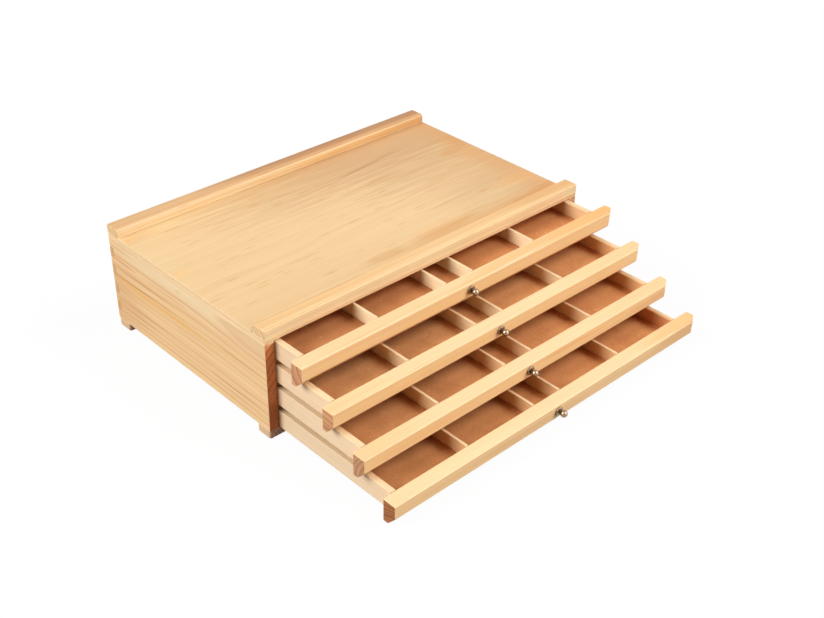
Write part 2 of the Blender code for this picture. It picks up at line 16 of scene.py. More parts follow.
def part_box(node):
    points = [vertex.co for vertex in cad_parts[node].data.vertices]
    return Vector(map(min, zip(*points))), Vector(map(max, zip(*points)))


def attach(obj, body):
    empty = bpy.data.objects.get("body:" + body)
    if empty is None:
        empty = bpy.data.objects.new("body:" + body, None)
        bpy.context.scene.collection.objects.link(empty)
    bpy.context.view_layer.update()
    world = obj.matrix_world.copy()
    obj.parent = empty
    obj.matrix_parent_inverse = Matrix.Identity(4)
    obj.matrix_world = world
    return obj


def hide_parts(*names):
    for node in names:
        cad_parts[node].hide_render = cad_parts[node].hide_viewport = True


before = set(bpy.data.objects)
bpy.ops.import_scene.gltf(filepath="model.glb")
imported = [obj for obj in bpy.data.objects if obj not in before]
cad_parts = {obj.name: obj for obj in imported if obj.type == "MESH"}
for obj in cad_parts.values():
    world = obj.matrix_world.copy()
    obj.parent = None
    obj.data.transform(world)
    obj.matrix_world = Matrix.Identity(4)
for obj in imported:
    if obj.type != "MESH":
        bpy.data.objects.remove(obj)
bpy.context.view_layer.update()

# Camera, in the case's own coordinates, where x = 0 is the case's middle and y = 0 its front
PHOTO_WIDTH = 824
PHOTO_FOCAL_PIXELS = 1211.42
SENSOR_WIDTH = 36.0
CAMERA_PLACE = (-0.66764, -0.66829, 0.67097)
CAMERA_AZIMUTH = -43.70
CAMERA_ELEVATION = 33.35
CAMERA_ROLL = 0.98

# Light
ROOM_STRENGTH = 0.045
ROOM_COLOUR = (255, 252, 247)
LAMPS = {
    # name: azimuth from the front towards the right, elevation, light on white, width
    "rear_window": (-108.0, 36.0, 1.00, 34.0),
    "front_window": (45.0, 45.0, 0.66, 30.0),
    "low_fill": (30.0, 10.0, 0.42, 30.0),
}
FLOOR_REACH = 4.0
FLOOR_SHADOW_SHARE = 0.045
FLOOR_COLOUR = (252, 252, 252)
FLOOR_BOUNCE_COLOUR = (132, 132, 132)

# Shapes drawn again, with the sizes that the solids have
FIT = 0.0003
FINGER_PULL_HEIGHT = 0.0089
FINGER_PULL_DEPTH = 0.0081
RAIL_TOP_ROUND = 0.0010
RAIL_REAR_TOP_ROUND = 0.0004
RAIL_BACK_ROUND = 0.0018
RAIL_NOSE_ROUND = 0.0024
RAIL_CORNER_CUT_LENGTH = 0.0100
RAIL_CORNER_CUT_DEPTH = 0.0066
RAIL_END_ROUND = 0.0025
RAIL_END_EASE = 0.0006
JOINT_STOP = 0.0040
LIP_INNER_ROUND = 0.0026
LIP_OUTER_ROUND = 0.0010
LIP_FOOT_ROUND = 0.0001
LIP_SETTLE = 0.00025
LIP_END_EASE = 0.0004
FOOT_CORNER_ROUND = 0.0026
FOOT_BOTTOM_ROUND = 0.0022
KNOB_FLANGE_RADIUS = 0.0043
KNOB_FLANGE_RIM = 0.0008
KNOB_FLANGE_THICKNESS = 0.0013
KNOB_COLLAR_RADIUS = 0.0025
KNOB_WAIST_RADIUS = 0.0016
KNOB_NECK_RADIUS = 0.0019
KNOB_BALL_RADIUS = 0.0033
KNOB_BALL_REACH = 0.0058
KNOB_STUD_RADIUS = 0.0016

# How finely curves are stepped
ROUND_STEPS = 7
BAR_STEP = 0.006
CORNER_CUT_STEPS = 24
FOOT_CORNER_STEPS = 10
KNOB_STEPS = 72
KNOB_BALL_STEPS = 28
KNOB_NECK_STEPS = 14
SHARP_ANGLE = 38.0
STEP_OFFSET = 1e-8
MERGE_DISTANCE = 1e-7
METRE_DIGITS = 7

# Drawers from the top down, and each one's dividers from the left
DRAWERS = (1, 2, 3, 4)
DIVIDERS = (1, 2, 3, 4)

CASE_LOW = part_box("case_left_side")[0]
CASE_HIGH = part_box("case_right_side")[1]
CASE_ORIGIN = Vector(((CASE_LOW.x + CASE_HIGH.x) / 2, CASE_LOW.y, 0.0))


def shade(red, green, blue):
    """A screen colour as the linear light that a shader wants."""
    screen = np.array((red, green, blue)) / 255
    light = np.where(screen <= 0.04045, screen / 12.92, ((screen + 0.055) / 1.055) ** 2.4)
    return (*light.tolist(), 1.0)


def toned(colour, share):
    """A screen colour made lighter or darker by a share of its light."""
    light = np.array(shade(*colour)[:3]) * share
    return (*np.minimum(light, 1.0).tolist(), 1.0)


def varied(seed, low, high):
    """A number between two ends that looks random but is the same on every run."""
    turn = math.sin(seed * 12.9898 + 4.1414) * 43758.5453
    return low + (high - low) * (turn - math.floor(turn))


def pith_line(seed, across, up):
    """A pith line's place across and up a board, each varied between its two ends."""
    return varied(seed, *across), varied(seed + 0.5, *up)


# Camera, light and floor

def aim(azimuth, elevation):
    """The direction at an azimuth from the front towards the right, and an elevation."""
    azimuth, elevation = math.radians(azimuth), math.radians(elevation)
    return Vector((math.sin(azimuth) * math.cos(elevation),
                   -math.cos(azimuth) * math.cos(elevation), math.sin(elevation)))


def set_camera():
    """The camera stands at its place and looks back along its azimuth and elevation."""
    roll = math.radians(CAMERA_ROLL)
    back = aim(CAMERA_AZIMUTH, CAMERA_ELEVATION)
    right = Vector((0, 0, 1)).cross(back).normalized()
    up = back.cross(right)
    turned_right = math.cos(roll) * right + math.sin(roll) * up
    turned_up = -math.sin(roll) * right + math.cos(roll) * up
    lens = bpy.data.cameras.new("camera")
    lens.sensor_width = SENSOR_WIDTH
    lens.lens = PHOTO_FOCAL_PIXELS / PHOTO_WIDTH * SENSOR_WIDTH
    lens.clip_start = 0.01
    camera = add_object("camera", lens)
    turn = Matrix((turned_right, turned_up, back)).transposed().to_4x4()
    camera.matrix_world = Matrix.Translation(CASE_ORIGIN + Vector(CAMERA_PLACE)) @ turn
    bpy.context.scene.camera = camera


def add_object(name, data):
    """A new object of the scene, at the origin."""
    added = bpy.data.objects.new(name, data)
    bpy.context.scene.collection.objects.link(added)
    return added


class Tree:
    """Adds nodes to a node tree. A value is a number, a tuple or another node's output."""

    def __init__(self, tree):
        self.tree = tree
        self.outlet = None

    def feed(self, socket, value):
        if isinstance(value, bpy.types.NodeSocket):
            self.tree.links.new(value, socket)
        else:
            socket.default_value = value

    def give(self, name, value):
        """Feeds one of a group's own outputs."""
        self.feed(self.outlet[name], value)

    def node(self, kind, values, **settings):
        """A node of a kind, its settings made and its inputs fed by name or number."""
        node = self.tree.nodes.new("ShaderNode" + kind)
        for setting, value in settings.items():
            setattr(node, setting, value)
        for socket, value in values.items():
            self.feed(node.inputs[socket], value)
        return node

    def group(self, tree, values):
        """A placed node group, its inputs fed by name; gives its outputs."""
        return self.node("Group", values, node_tree=tree).outputs

    def math(self, operation, *values, clamp=False):
        fed = dict(enumerate(values))
        return self.node("Math", fed, operation=operation, use_clamp=clamp).outputs[0]

    def times(self, value, share, clamp=False):
        return self.math("MULTIPLY", value, share, clamp=clamp)

    def add(self, base, value, share, clamp=False):
        """A base plus a share of a value."""
        return self.math("MULTIPLY_ADD", value, share, base, clamp=clamp)

    def centred(self, value):
        """A value from 0 to 1 moved to lie on both sides of 0."""
        return self.math("SUBTRACT", value, 0.5)

    def vector(self, operation, *values):
        node = self.node("VectorMath", dict(enumerate(values)), operation=operation)
        return node.outputs["Value" if operation in ("LENGTH", "DOT_PRODUCT") else "Vector"]

    def parts(self, vector):
        return self.node("SeparateXYZ", {0: vector}).outputs

    def whole(self, x, y, z):
        return self.node("CombineXYZ", {0: x, 1: y, 2: z}).outputs[0]

    def scaled(self, vector, share):
        """A vector or a colour times a number that may change over the surface."""
        return self.vector("MULTIPLY", vector, self.whole(share, share, share))

    def moved(self, vector, shift, turn=(0.0, 0.0, 0.0)):
        """A vector turned about the origin and then shifted."""
        values = {"Vector": vector, "Location": tuple(shift), "Rotation": tuple(turn)}
        return self.node("Mapping", values).outputs[0]

    def noise(self, vector, scale=None, detail=2.0, roughness=0.5, distortion=0.0):
        """Smooth noise from 0 to 1, with features about one unit of the scaled vector long."""
        if scale:
            vector = self.vector("MULTIPLY", vector, scale)
        values = {"Vector": vector, "Scale": 1.0, "Detail": detail, "Roughness": roughness,
                  "Distortion": distortion}
        return self.node("TexNoise", values).outputs[0]

    def ramp(self, value, low, high, to_low=0.0, to_high=1.0):
        """A smooth step from one value to another between two levels."""
        values = {0: value, 1: low, 2: high, 3: to_low, 4: to_high}
        return self.node("MapRange", values, interpolation_type="SMOOTHSTEP").outputs[0]

    def blend(self, share, first, second):
        return self.node("Mix", {0: share, 6: first, 7: second}, data_type="RGBA").outputs[2]


def new_tree(block):
    block.use_nodes = True
    block.node_tree.nodes.clear()
    return Tree(block.node_tree)


def light_room():
    """White for the eye and for gloss, and a softer warm white as the light on the wood."""
    world = bpy.data.worlds.new("white_room")
    bpy.context.scene.world = world
    tree = new_tree(world)
    path = tree.node("LightPath", {}).outputs
    seen = tree.math("MAXIMUM", path["Is Camera Ray"], path["Is Glossy Ray"])
    soft = tree.node("Background", {"Color": shade(*ROOM_COLOUR), "Strength": ROOM_STRENGTH})
    white = tree.node("Background", {"Color": (1, 1, 1, 1), "Strength": 1.0})
    mixed = tree.node("MixShader", {0: seen, 1: soft.outputs[0], 2: white.outputs[0]})
    tree.node("OutputWorld", {"Surface": mixed.outputs[0]})

    for name, (azimuth, elevation, light, width) in LAMPS.items():
        lamp = bpy.data.lights.new(name, "SUN")
        lamp.energy = math.pi * light
        lamp.angle = math.radians(width)
        sun = add_object(name, lamp)
        sun.rotation_euler = aim(azimuth, elevation).to_track_quat("Z", "Y").to_euler()


def lay_floor():
    """A white floor, of which the eye sees mostly plain white and a little of the shadow."""
    reach = FLOOR_REACH
    mesh = bpy.data.meshes.new("white_floor")
    corners = [(-reach, -reach, 0), (reach, -reach, 0), (reach, reach, 0), (-reach, reach, 0)]
    mesh.from_pydata(corners, [], [(0, 1, 2, 3)])
    floor = add_object("white_floor", mesh)
    material = bpy.data.materials.new("white_floor")
    tree = new_tree(material)
    path = tree.node("LightPath", {}).outputs
    seen = tree.math("MAXIMUM", path["Is Camera Ray"], path["Is Glossy Ray"])
    share = tree.math("MULTIPLY", seen, 1 - FLOOR_SHADOW_SHARE)
    colour = tree.blend(seen, shade(*FLOOR_BOUNCE_COLOUR), shade(*FLOOR_COLOUR))
    matt = tree.node("BsdfDiffuse", {"Color": colour})
    white = tree.node("Emission", {"Color": (1, 1, 1, 1), "Strength": 1.0})
    mixed = tree.node("MixShader", {0: share, 1: matt.outputs[0], 2: white.outputs[0]})
    tree.node("OutputMaterial", {"Surface": mixed.outputs[0]})
    mesh.materials.append(material)


# Surfaces worked out as grids

def rounded_outline(corners):
    """A closed outline of (a, b, radius) corners, each arc tangent to both of its sides."""
    count = len(corners)
    pieces = []
    for index, (a, b, radius) in enumerate(corners):
        here = np.array((a, b))
        if radius == 0:
            pieces.append(here[None])
            continue
        before = np.array(corners[index - 1][:2]) - here
        after = np.array(corners[(index + 1) % count][:2]) - here
        before /= np.linalg.norm(before)
        after /= np.linalg.norm(after)
        half = math.acos(np.clip(before @ after, -1, 1)) / 2
        centre = here + (before + after) / np.linalg.norm(before + after) * radius / math.sin(half)
        spokes = here + np.stack((before, after)) * radius / math.tan(half) - centre
        start, end = np.arctan2(spokes[:, 1], spokes[:, 0])
        turn = (end - start + math.pi) % (2 * math.pi) - math.pi
        angles = start + turn * np.linspace(0, 1, ROUND_STEPS)
        pieces.append(centre + radius * np.stack((np.cos(angles), np.sin(angles)), 1))
    return np.concatenate(pieces)


def closed_piece(name, rings, fit_normals=True):
    """A closed mesh from a grid of rings: quads round and between them, and flat end faces."""
    rows, columns = rings.shape[:2]
    index = np.arange(rows * columns).reshape(rows, columns)
    beside = np.roll(index, -1, 1)
    quads = np.stack((index[:-1], beside[:-1], beside[1:], index[1:]), -1).reshape(-1, 4)
    faces = quads.tolist() + [index[0].tolist(), index[-1].tolist()]
    mesh = bpy.data.meshes.new(name)
    mesh.from_pydata(rings.reshape(-1, 3).tolist(), [], faces)
    shape = bmesh.new()
    shape.from_mesh(mesh)
    bmesh.ops.remove_doubles(shape, verts=shape.verts, dist=MERGE_DISTANCE)
    bmesh.ops.recalc_face_normals(shape, faces=shape.faces)
    shape.to_mesh(mesh)
    shape.free()
    mesh.shade_smooth()
    mesh.set_sharp_from_angle(angle=math.radians(SHARP_ANGLE))
    piece = add_object(name, mesh)
    if fit_normals:
        flats = piece.modifiers.new("flats_stay_flat", "WEIGHTED_NORMAL")
        flats.keep_sharp = True
    return piece


def bar_stations(low_x, high_x, rounds):
    """Places along a bar: even steps between, closer ones where each end rounds off."""
    share = 1 - np.cos(np.linspace(0, math.pi / 2, ROUND_STEPS))
    ends = [low_x + radius * share for radius in rounds]
    ends += [high_x - radius * share for radius in rounds]
    reach = max(rounds)
    count = int((high_x - low_x) / BAR_STEP)
    return np.concatenate([np.linspace(low_x + reach, high_x - reach, count), *ends])


def bar_rings(stations, section, front, back, ease):
    """A section carried along X, held between a front and a back line.

    At both ends it is drawn in towards its middle by a quarter circle, the ease.
    """
    from_end = np.minimum(stations - stations.min(), stations.max() - stations)
    depth = np.clip(from_end, 0, ease)
    inset = ease - np.sqrt(ease ** 2 - (ease - depth) ** 2)
    y = np.minimum(np.maximum(section[None, :, 0], front), back)
    z = np.broadcast_to(section[None, :, 1], y.shape)
    middle = (y.min(1, keepdims=True) + y.max(1, keepdims=True)) / 2
    half = (y.max(1, keepdims=True) - y.min(1, keepdims=True)) / 2
    y = middle + (y - middle) * (1 - inset[:, None] / half)
    centre = (section[:, 1].min() + section[:, 1].max()) / 2
    tall = (section[:, 1].max() - section[:, 1].min()) / 2
    z = centre + (z - centre) * (1 - inset[:, None] / tall)
    x = np.broadcast_to(stations[:, None], y.shape)
    return np.stack((x, y, z), -1)


def rail_slots(drawer):
    """The grooves at a rail's back, each as its x, y and z ranges with the fit round the board."""
    boards = ["bottom_panel", "left_side", "right_side"]
    boards += ["divider_" + str(number) for number in DIVIDERS]
    slots = []
    for board in boards:
        low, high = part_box(drawer + "_" + board)
        top = high.z if board == "bottom_panel" else high.z - JOINT_STOP
        slots.append((low.x - FIT, high.x + FIT, low.y - FIT, low.z - FIT, top + FIT))
    return slots


def draw_rail(drawer):
    """A front rail: its section carried along X between the plan's front and back lines.

    The section is a tall bar with a slanted finger pull under its front. In plan the right
    end's front corner is cut at a slant and the ends are rounded. Inside a groove's x and z
    range the back line steps forward to the groove's depth. The section has two points at
    each groove's lower and upper z, and the stations two at each x, so that steps are square.
    """
    low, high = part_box(drawer + "_front_rail")
    back = high.y
    slots = rail_slots(drawer)
    levels = sorted({round(z, METRE_DIGITS) for slot in slots for z in slot[3:]})
    section = rounded_outline([
        (low.y, high.z, RAIL_TOP_ROUND),
        (low.y, low.z + FINGER_PULL_HEIGHT, RAIL_TOP_ROUND),
        (low.y + FINGER_PULL_DEPTH, low.z, RAIL_NOSE_ROUND),
        (back, low.z, RAIL_BACK_ROUND),
        *[(back, level, 0) for level in levels for side in (-1, 1)],
        (back, high.z, RAIL_REAR_TOP_ROUND),
    ])
    first = len(section) - ROUND_STEPS - 2 * len(levels)
    heights = section[:, 1].copy()
    heights[first:first + 2 * len(levels)] += np.tile((-STEP_OFFSET, STEP_OFFSET), len(levels))
    rounding = np.where(section[:, 1] > high.z - RAIL_TOP_ROUND, section[:, 0] - low.y, 0)
    rounding = np.where(rounding < RAIL_TOP_ROUND, rounding, 0)

    cut_x = high.x - RAIL_CORNER_CUT_LENGTH
    stations = bar_stations(low.x, high.x, (RAIL_END_ROUND, RAIL_END_EASE))
    cut_stations = np.linspace(cut_x - RAIL_END_ROUND, high.x, CORNER_CUT_STEPS)
    edges = np.array([slot[:2] for slot in slots]).ravel()
    stations = np.sort(np.concatenate((stations, cut_stations, edges - STEP_OFFSET,
                                       edges + STEP_OFFSET)))
    plan_front = rounded_outline([
        (low.x, low.y, 0),
        (cut_x, low.y, RAIL_END_ROUND),
        (high.x, low.y + RAIL_CORNER_CUT_DEPTH, RAIL_END_ROUND),
        (high.x, back, 0),
    ])[:-1]
    end = np.minimum(np.minimum(stations - low.x, high.x - stations), RAIL_END_ROUND)
    backs = back - RAIL_END_ROUND + np.sqrt(RAIL_END_ROUND ** 2 - (RAIL_END_ROUND - end) ** 2)
    backs = np.repeat(backs[:, None], len(section), 1)
    for start, stop, depth, bottom, top in slots:
        inside = ((stations > start) & (stations < stop))[:, None]
        inside = inside & ((heights > bottom) & (heights < top))[None, :]
        backs = np.where(inside, np.minimum(backs, depth), backs)
    fronts = np.interp(stations, plan_front[:, 0], plan_front[:, 1])[:, None] + rounding[None, :]
    rings = bar_rings(stations, section, fronts, backs, RAIL_END_EASE)
    rings[:, :, 0] = np.round(rings[:, :, 0], METRE_DIGITS)
    return closed_piece(drawer + "_rail_wood", rings)


def draw_lip(name, rounded_front):
    """A lip: a low bar along X, its inner top edge a wide quarter circle, its outer one narrow.

    It is let down onto the top board, so that no dark line shows under it.
    """
    low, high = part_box(name)
    foot = low.z - LIP_SETTLE
    front_round = LIP_INNER_ROUND if rounded_front else LIP_OUTER_ROUND
    back_round = LIP_OUTER_ROUND if rounded_front else LIP_INNER_ROUND
    section = rounded_outline([
        (low.y, foot, LIP_FOOT_ROUND),
        (high.y, foot, LIP_FOOT_ROUND),
        (high.y, high.z, back_round),
        (low.y, high.z, front_round),
    ])
    stations = np.sort(bar_stations(low.x, high.x, (LIP_END_EASE,)))
    rings = bar_rings(stations, section, low.y, high.y, LIP_END_EASE)
    return closed_piece(name + "_wood", rings)


def draw_foot(name):
    """A foot: its rounded square plan carried down, drawn in by a quarter circle at the bottom."""
    low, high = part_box(name)
    angles = np.linspace(0, math.pi / 2, FOOT_CORNER_STEPS)
    spokes = np.concatenate([angles + math.pi / 2 * corner for corner in range(4)])
    middle = (np.array(low[:2]) + high[:2]) / 2
    half = (np.array(high[:2]) - low[:2]) / 2 - FOOT_CORNER_ROUND
    signs = np.repeat(np.array(((1, 1), (-1, 1), (-1, -1), (1, -1))), FOOT_CORNER_STEPS, 0)
    radius = FOOT_CORNER_ROUND - FOOT_BOTTOM_ROUND * (1 - np.cos(angles))
    heights = low.z + FOOT_BOTTOM_ROUND * (1 - np.sin(angles))
    radius = np.append(FOOT_CORNER_ROUND, radius)
    heights = np.append(high.z, heights)
    spoke = np.stack((np.cos(spokes), np.sin(spokes)), 1)
    plan = middle + signs * half + radius[:, None, None] * spoke
    level = np.broadcast_to(heights[:, None, None], (*plan.shape[:2], 1))
    return closed_piece(name + "_wood", np.concatenate((plan, level), 2))


def knob_profile(reach):
    """The knob's (radius, distance) line: ball, waisted neck, dished flange and stud.

    The ball is part of a circle. The neck's radius is a parabola, least at the waist, and
    flares to the collar by a fourth power. Over the flange the radius grows by a quarter
    wave and the distance falls by a square.
    """
    open_angle = math.pi - math.asin(KNOB_NECK_RADIUS / KNOB_BALL_RADIUS)
    around = np.linspace(0, open_angle, KNOB_BALL_STEPS)
    ball = np.stack((KNOB_BALL_RADIUS * np.sin(around),
                     KNOB_BALL_REACH + KNOB_BALL_RADIUS * np.cos(around)), 1)
    front = FIT + KNOB_FLANGE_THICKNESS
    share = np.linspace(0, 1, KNOB_NECK_STEPS)[1:]
    pinch = KNOB_WAIST_RADIUS + (KNOB_NECK_RADIUS - KNOB_WAIST_RADIUS) * (1 - 2 * share) ** 2
    flare = (KNOB_COLLAR_RADIUS - KNOB_NECK_RADIUS) * share ** 4
    neck = np.stack((pinch + flare, ball[-1, 1] + (front - ball[-1, 1]) * share), 1)
    wave = np.sin(share * math.pi / 2)
    rim = FIT + KNOB_FLANGE_RIM
    flange = np.stack((KNOB_COLLAR_RADIUS + (KNOB_FLANGE_RADIUS - KNOB_COLLAR_RADIUS) * wave,
                       front + (rim - front) * share ** 2), 1)
    stud = np.array(((KNOB_FLANGE_RADIUS, FIT), (KNOB_STUD_RADIUS, FIT),
                     (KNOB_STUD_RADIUS, -reach), (0, -reach)))
    return np.concatenate((ball, neck, flange, stud))


def draw_knob(drawer):
    """A knob: its profile turned round an axis along Y through the rail's middle."""
    low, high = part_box(drawer + "_knob")
    front = low.y + KNOB_BALL_REACH + KNOB_BALL_RADIUS
    profile = knob_profile(high.y - front)
    angles = np.linspace(0, 2 * math.pi, KNOB_STEPS, endpoint=False)
    radius = profile[:, 0][:, None]
    x = (low.x + high.x) / 2 + radius * np.cos(angles)
    z = (low.z + high.z) / 2 + radius * np.sin(angles)
    y = np.broadcast_to(front - profile[:, 1][:, None], x.shape)
    return closed_piece(drawer + "_knob_metal", np.stack((x, y, z), -1), fit_normals=False)


# Node groups

VECTOR = "NodeSocketVector"
NUMBER = "NodeSocketFloat"
COLOUR = "NodeSocketColor"

# Scales of the patterns, in features per metre along X, Y and Z, with the grain along X
RING_SWAY_SCALE = (5.0, 26.0, 26.0)
RING_TREMOR_SCALE = (26.0, 150.0, 150.0)
PORE_DRIFT_SCALE = (9.0, 30.0, 30.0)
WORN_EDGE_SCALE = (130.0, 130.0, 130.0)
BLUSH_SCALE = (7.0, 22.0, 22.0)
GRIT_SCALE = (700.0, 1500.0, 1500.0)
CLOUD_SCALE = (38.0, 38.0, 38.0)
PRESSED_FIBRE_SCALES = ((300.0, 1100.0, 900.0), (1100.0, 300.0, 900.0))
MARK_SWAY_SCALE = (11.0, 24.0, 24.0)
MARK_STREAK_SCALE = (16.0, 320.0, 320.0)
STAIN_SCALE = (900.0, 900.0, 900.0)

# Sizes and levels in the patterns
BROAD_FIBRE_SHARE = (0.22, 0.16, 0.16)
FIBRE_SIZE = {"Length": 0.035, "Width": 0.0009}
PORE_SIZE = {"Length": 0.034, "Width": 0.0019}
FLECK_SIZE = {"Length": 0.0042, "Width": 0.0038, "Share": 0.10}
LATEWOOD_POWER = 2.6
LATEWOOD_DROP = 0.86
END_FACE_LEVELS = (0.45, 0.85)
MARK_FEATHER = (0.72, 1.5)
MARK_STREAKINESS = 0.9
MARK_SWAY = 0.003


def new_group(name, inputs, *outputs):
    """An empty shader node group with named sockets; gives its tree and its inputs.

    An output named Color is a colour, and every other one a number.
    """
    group = bpy.data.node_groups.new(name, "ShaderNodeTree")
    for kind, names in inputs.items():
        for socket in names:
            group.interface.new_socket(socket, in_out="INPUT", socket_type=kind)
    for socket in outputs:
        kind = COLOUR if socket == "Color" else NUMBER
        group.interface.new_socket(socket, in_out="OUTPUT", socket_type=kind)
    tree = Tree(group)
    inlet = group.nodes.new("NodeGroupInput").outputs
    tree.outlet = group.nodes.new("NodeGroupOutput").inputs
    return tree, inlet


def in_cells(tree, inlet):
    """A group's vector, counted in its lengths along the grain and its widths across."""
    size = tree.whole(inlet["Length"], inlet["Width"], inlet["Width"])
    return tree.vector("DIVIDE", inlet["Vector"], size)


def make_growth_rings():
    """Yearly rings as nested tubes round a pith line along X.

    The distance from the pith, plus a slow sway and a small tremor along X, counted in
    ring widths, is the ring number. Within a ring the wood darkens with a power of the way
    through and drops back over the last part, and each ring has its own strength.
    """
    tree, inlet = new_group(
        "growth_rings", {VECTOR: ("Vector", "Pith"), NUMBER: ("Ring Width", "Waver")},
        "Latewood", "Ring Tone")
    here = inlet["Vector"]
    across = tree.vector("MULTIPLY", tree.vector("SUBTRACT", here, inlet["Pith"]), (0, 1, 1))
    slow = tree.centred(tree.noise(here, RING_SWAY_SCALE, detail=1.0))
    quick = tree.centred(tree.noise(here, RING_TREMOR_SCALE))
    sway = tree.add(tree.times(slow, 2.0), quick, 0.25)
    radius = tree.add(tree.vector("LENGTH", across), sway, inlet["Waver"])
    count = tree.math("DIVIDE", radius, inlet["Ring Width"])
    uneven = tree.noise(tree.whole(0.0, tree.times(count, 0.7), 3.0), detail=1.0)
    count = tree.add(count, uneven, 1.4)
    way = tree.math("FRACT", count)
    rise = tree.math("POWER", way, LATEWOOD_POWER)
    drop = tree.ramp(way, LATEWOOD_DROP, 1.0, 1.0, 0.0)
    strength = tree.node("TexWhiteNoise", {"W": tree.math("FLOOR", count)}, noise_dimensions="1D")
    strength = strength.outputs["Value"]
    late = tree.times(tree.times(rise, drop), tree.add(0.45, strength, 0.75))
    tree.give("Latewood", tree.times(late, 1.35, clamp=True))
    tree.give("Ring Tone", strength)
    return tree.tree


def make_fibres():
    """Long thin streaks: noise drawn out along X, at a fine and a broad size."""
    tree, inlet = new_group(
        "fibres", {VECTOR: ("Vector",), NUMBER: ("Length", "Width")}, "Fine", "Broad")
    scaled = in_cells(tree, inlet)
    tree.give("Fine", tree.noise(scaled, detail=3.0, roughness=0.65))
    tree.give("Broad", tree.noise(scaled, BROAD_FIBRE_SHARE))
    return tree.tree


def make_pore_marks():
    """Short dark dashes: stretched cells that each hold one dash of its own strength.

    A slow noise gathers the dashes in drifts, and leaves other places clear.
    """
    tree, inlet = new_group(
        "pore_marks", {VECTOR: ("Vector",), NUMBER: ("Length", "Width", "Share")}, "Marks")
    cell = tree.node("TexVoronoi", {"Vector": in_cells(tree, inlet), "Scale": 1.0})
    chance = tree.parts(cell.outputs["Color"])
    drift = tree.noise(inlet["Vector"], PORE_DRIFT_SCALE, detail=1.0)
    chosen = tree.times(inlet["Share"], tree.ramp(drift, 0.38, 0.66, 0.25, 1.6))
    chosen = tree.math("LESS_THAN", chance[0], chosen)
    dash = tree.times(tree.ramp(cell.outputs["Distance"], 0.06, 0.30, 1.0, 0.0), chosen)
    tree.give("Marks", tree.times(dash, tree.add(0.3, chance[1], 0.7)))
    return tree.tree


def make_board_edges():
    """How near a point on a board is to one of its edges, from 0 to 1.

    Of its three distances to the nearer face of each pair, the middle one is the distance
    to the edge. Noise makes the worn strip wider and narrower along the edge.
    """
    tree, inlet = new_group(
        "board_edges", {VECTOR: ("Vector", "Low", "High"), NUMBER: ("Width",)}, "Edge")
    here = inlet["Vector"]
    nearer = tree.vector("MINIMUM", tree.vector("SUBTRACT", here, inlet["Low"]),
                         tree.vector("SUBTRACT", inlet["High"], here))
    a, b, c = tree.parts(nearer)
    middle = tree.math("MAXIMUM", tree.math("MINIMUM", a, b),
                       tree.math("MINIMUM", tree.math("MAXIMUM", a, b), c))
    uneven = tree.noise(here, WORN_EDGE_SCALE, detail=3.0)
    width = tree.times(inlet["Width"], tree.add(0.2, uneven, 1.6))
    tree.give("Edge", tree.ramp(middle, 0.0, width, 1.0, 0.0))
    return tree.tree


def make_end_faces():
    """1 on faces that cut across the grain, 0 on those along it."""
    tree, inlet = new_group("end_faces", {VECTOR: ("Normal", "Grain Axis")}, "End")
    facing = tree.vector("DOT_PRODUCT", inlet["Normal"], inlet["Grain Axis"])
    tree.give("End", tree.ramp(tree.math("ABSOLUTE", facing), *END_FACE_LEVELS))
    return tree.tree


def make_lens_mark():
    """A long lens of another colour along the grain, its edge feathered by a streaky noise.

    Vector has X along the grain. The distance from the middle is counted in units of the
    reach, after the mark has been sheared by its lean: how far it strays over its length.
    """
    tree, inlet = new_group(
        "lens_mark",
        {VECTOR: ("Vector", "Middle", "Reach", "Lean"), NUMBER: ("Streak", "Strength"),
         COLOUR: ("Base", "Mark")}, "Color")
    away = tree.vector("SUBTRACT", inlet["Vector"], inlet["Middle"])
    away = tree.vector("SUBTRACT", away, tree.scaled(inlet["Lean"], tree.parts(away)[0]))
    far = tree.vector("LENGTH", tree.vector("DIVIDE", away, inlet["Reach"]))
    far = tree.add(far, inlet["Streak"], MARK_STREAKINESS)
    share = tree.times(tree.ramp(far, *MARK_FEATHER, 1.0, 0.0), inlet["Strength"])
    tree.give("Color", tree.blend(share, inlet["Base"], inlet["Mark"]))
    return tree.tree


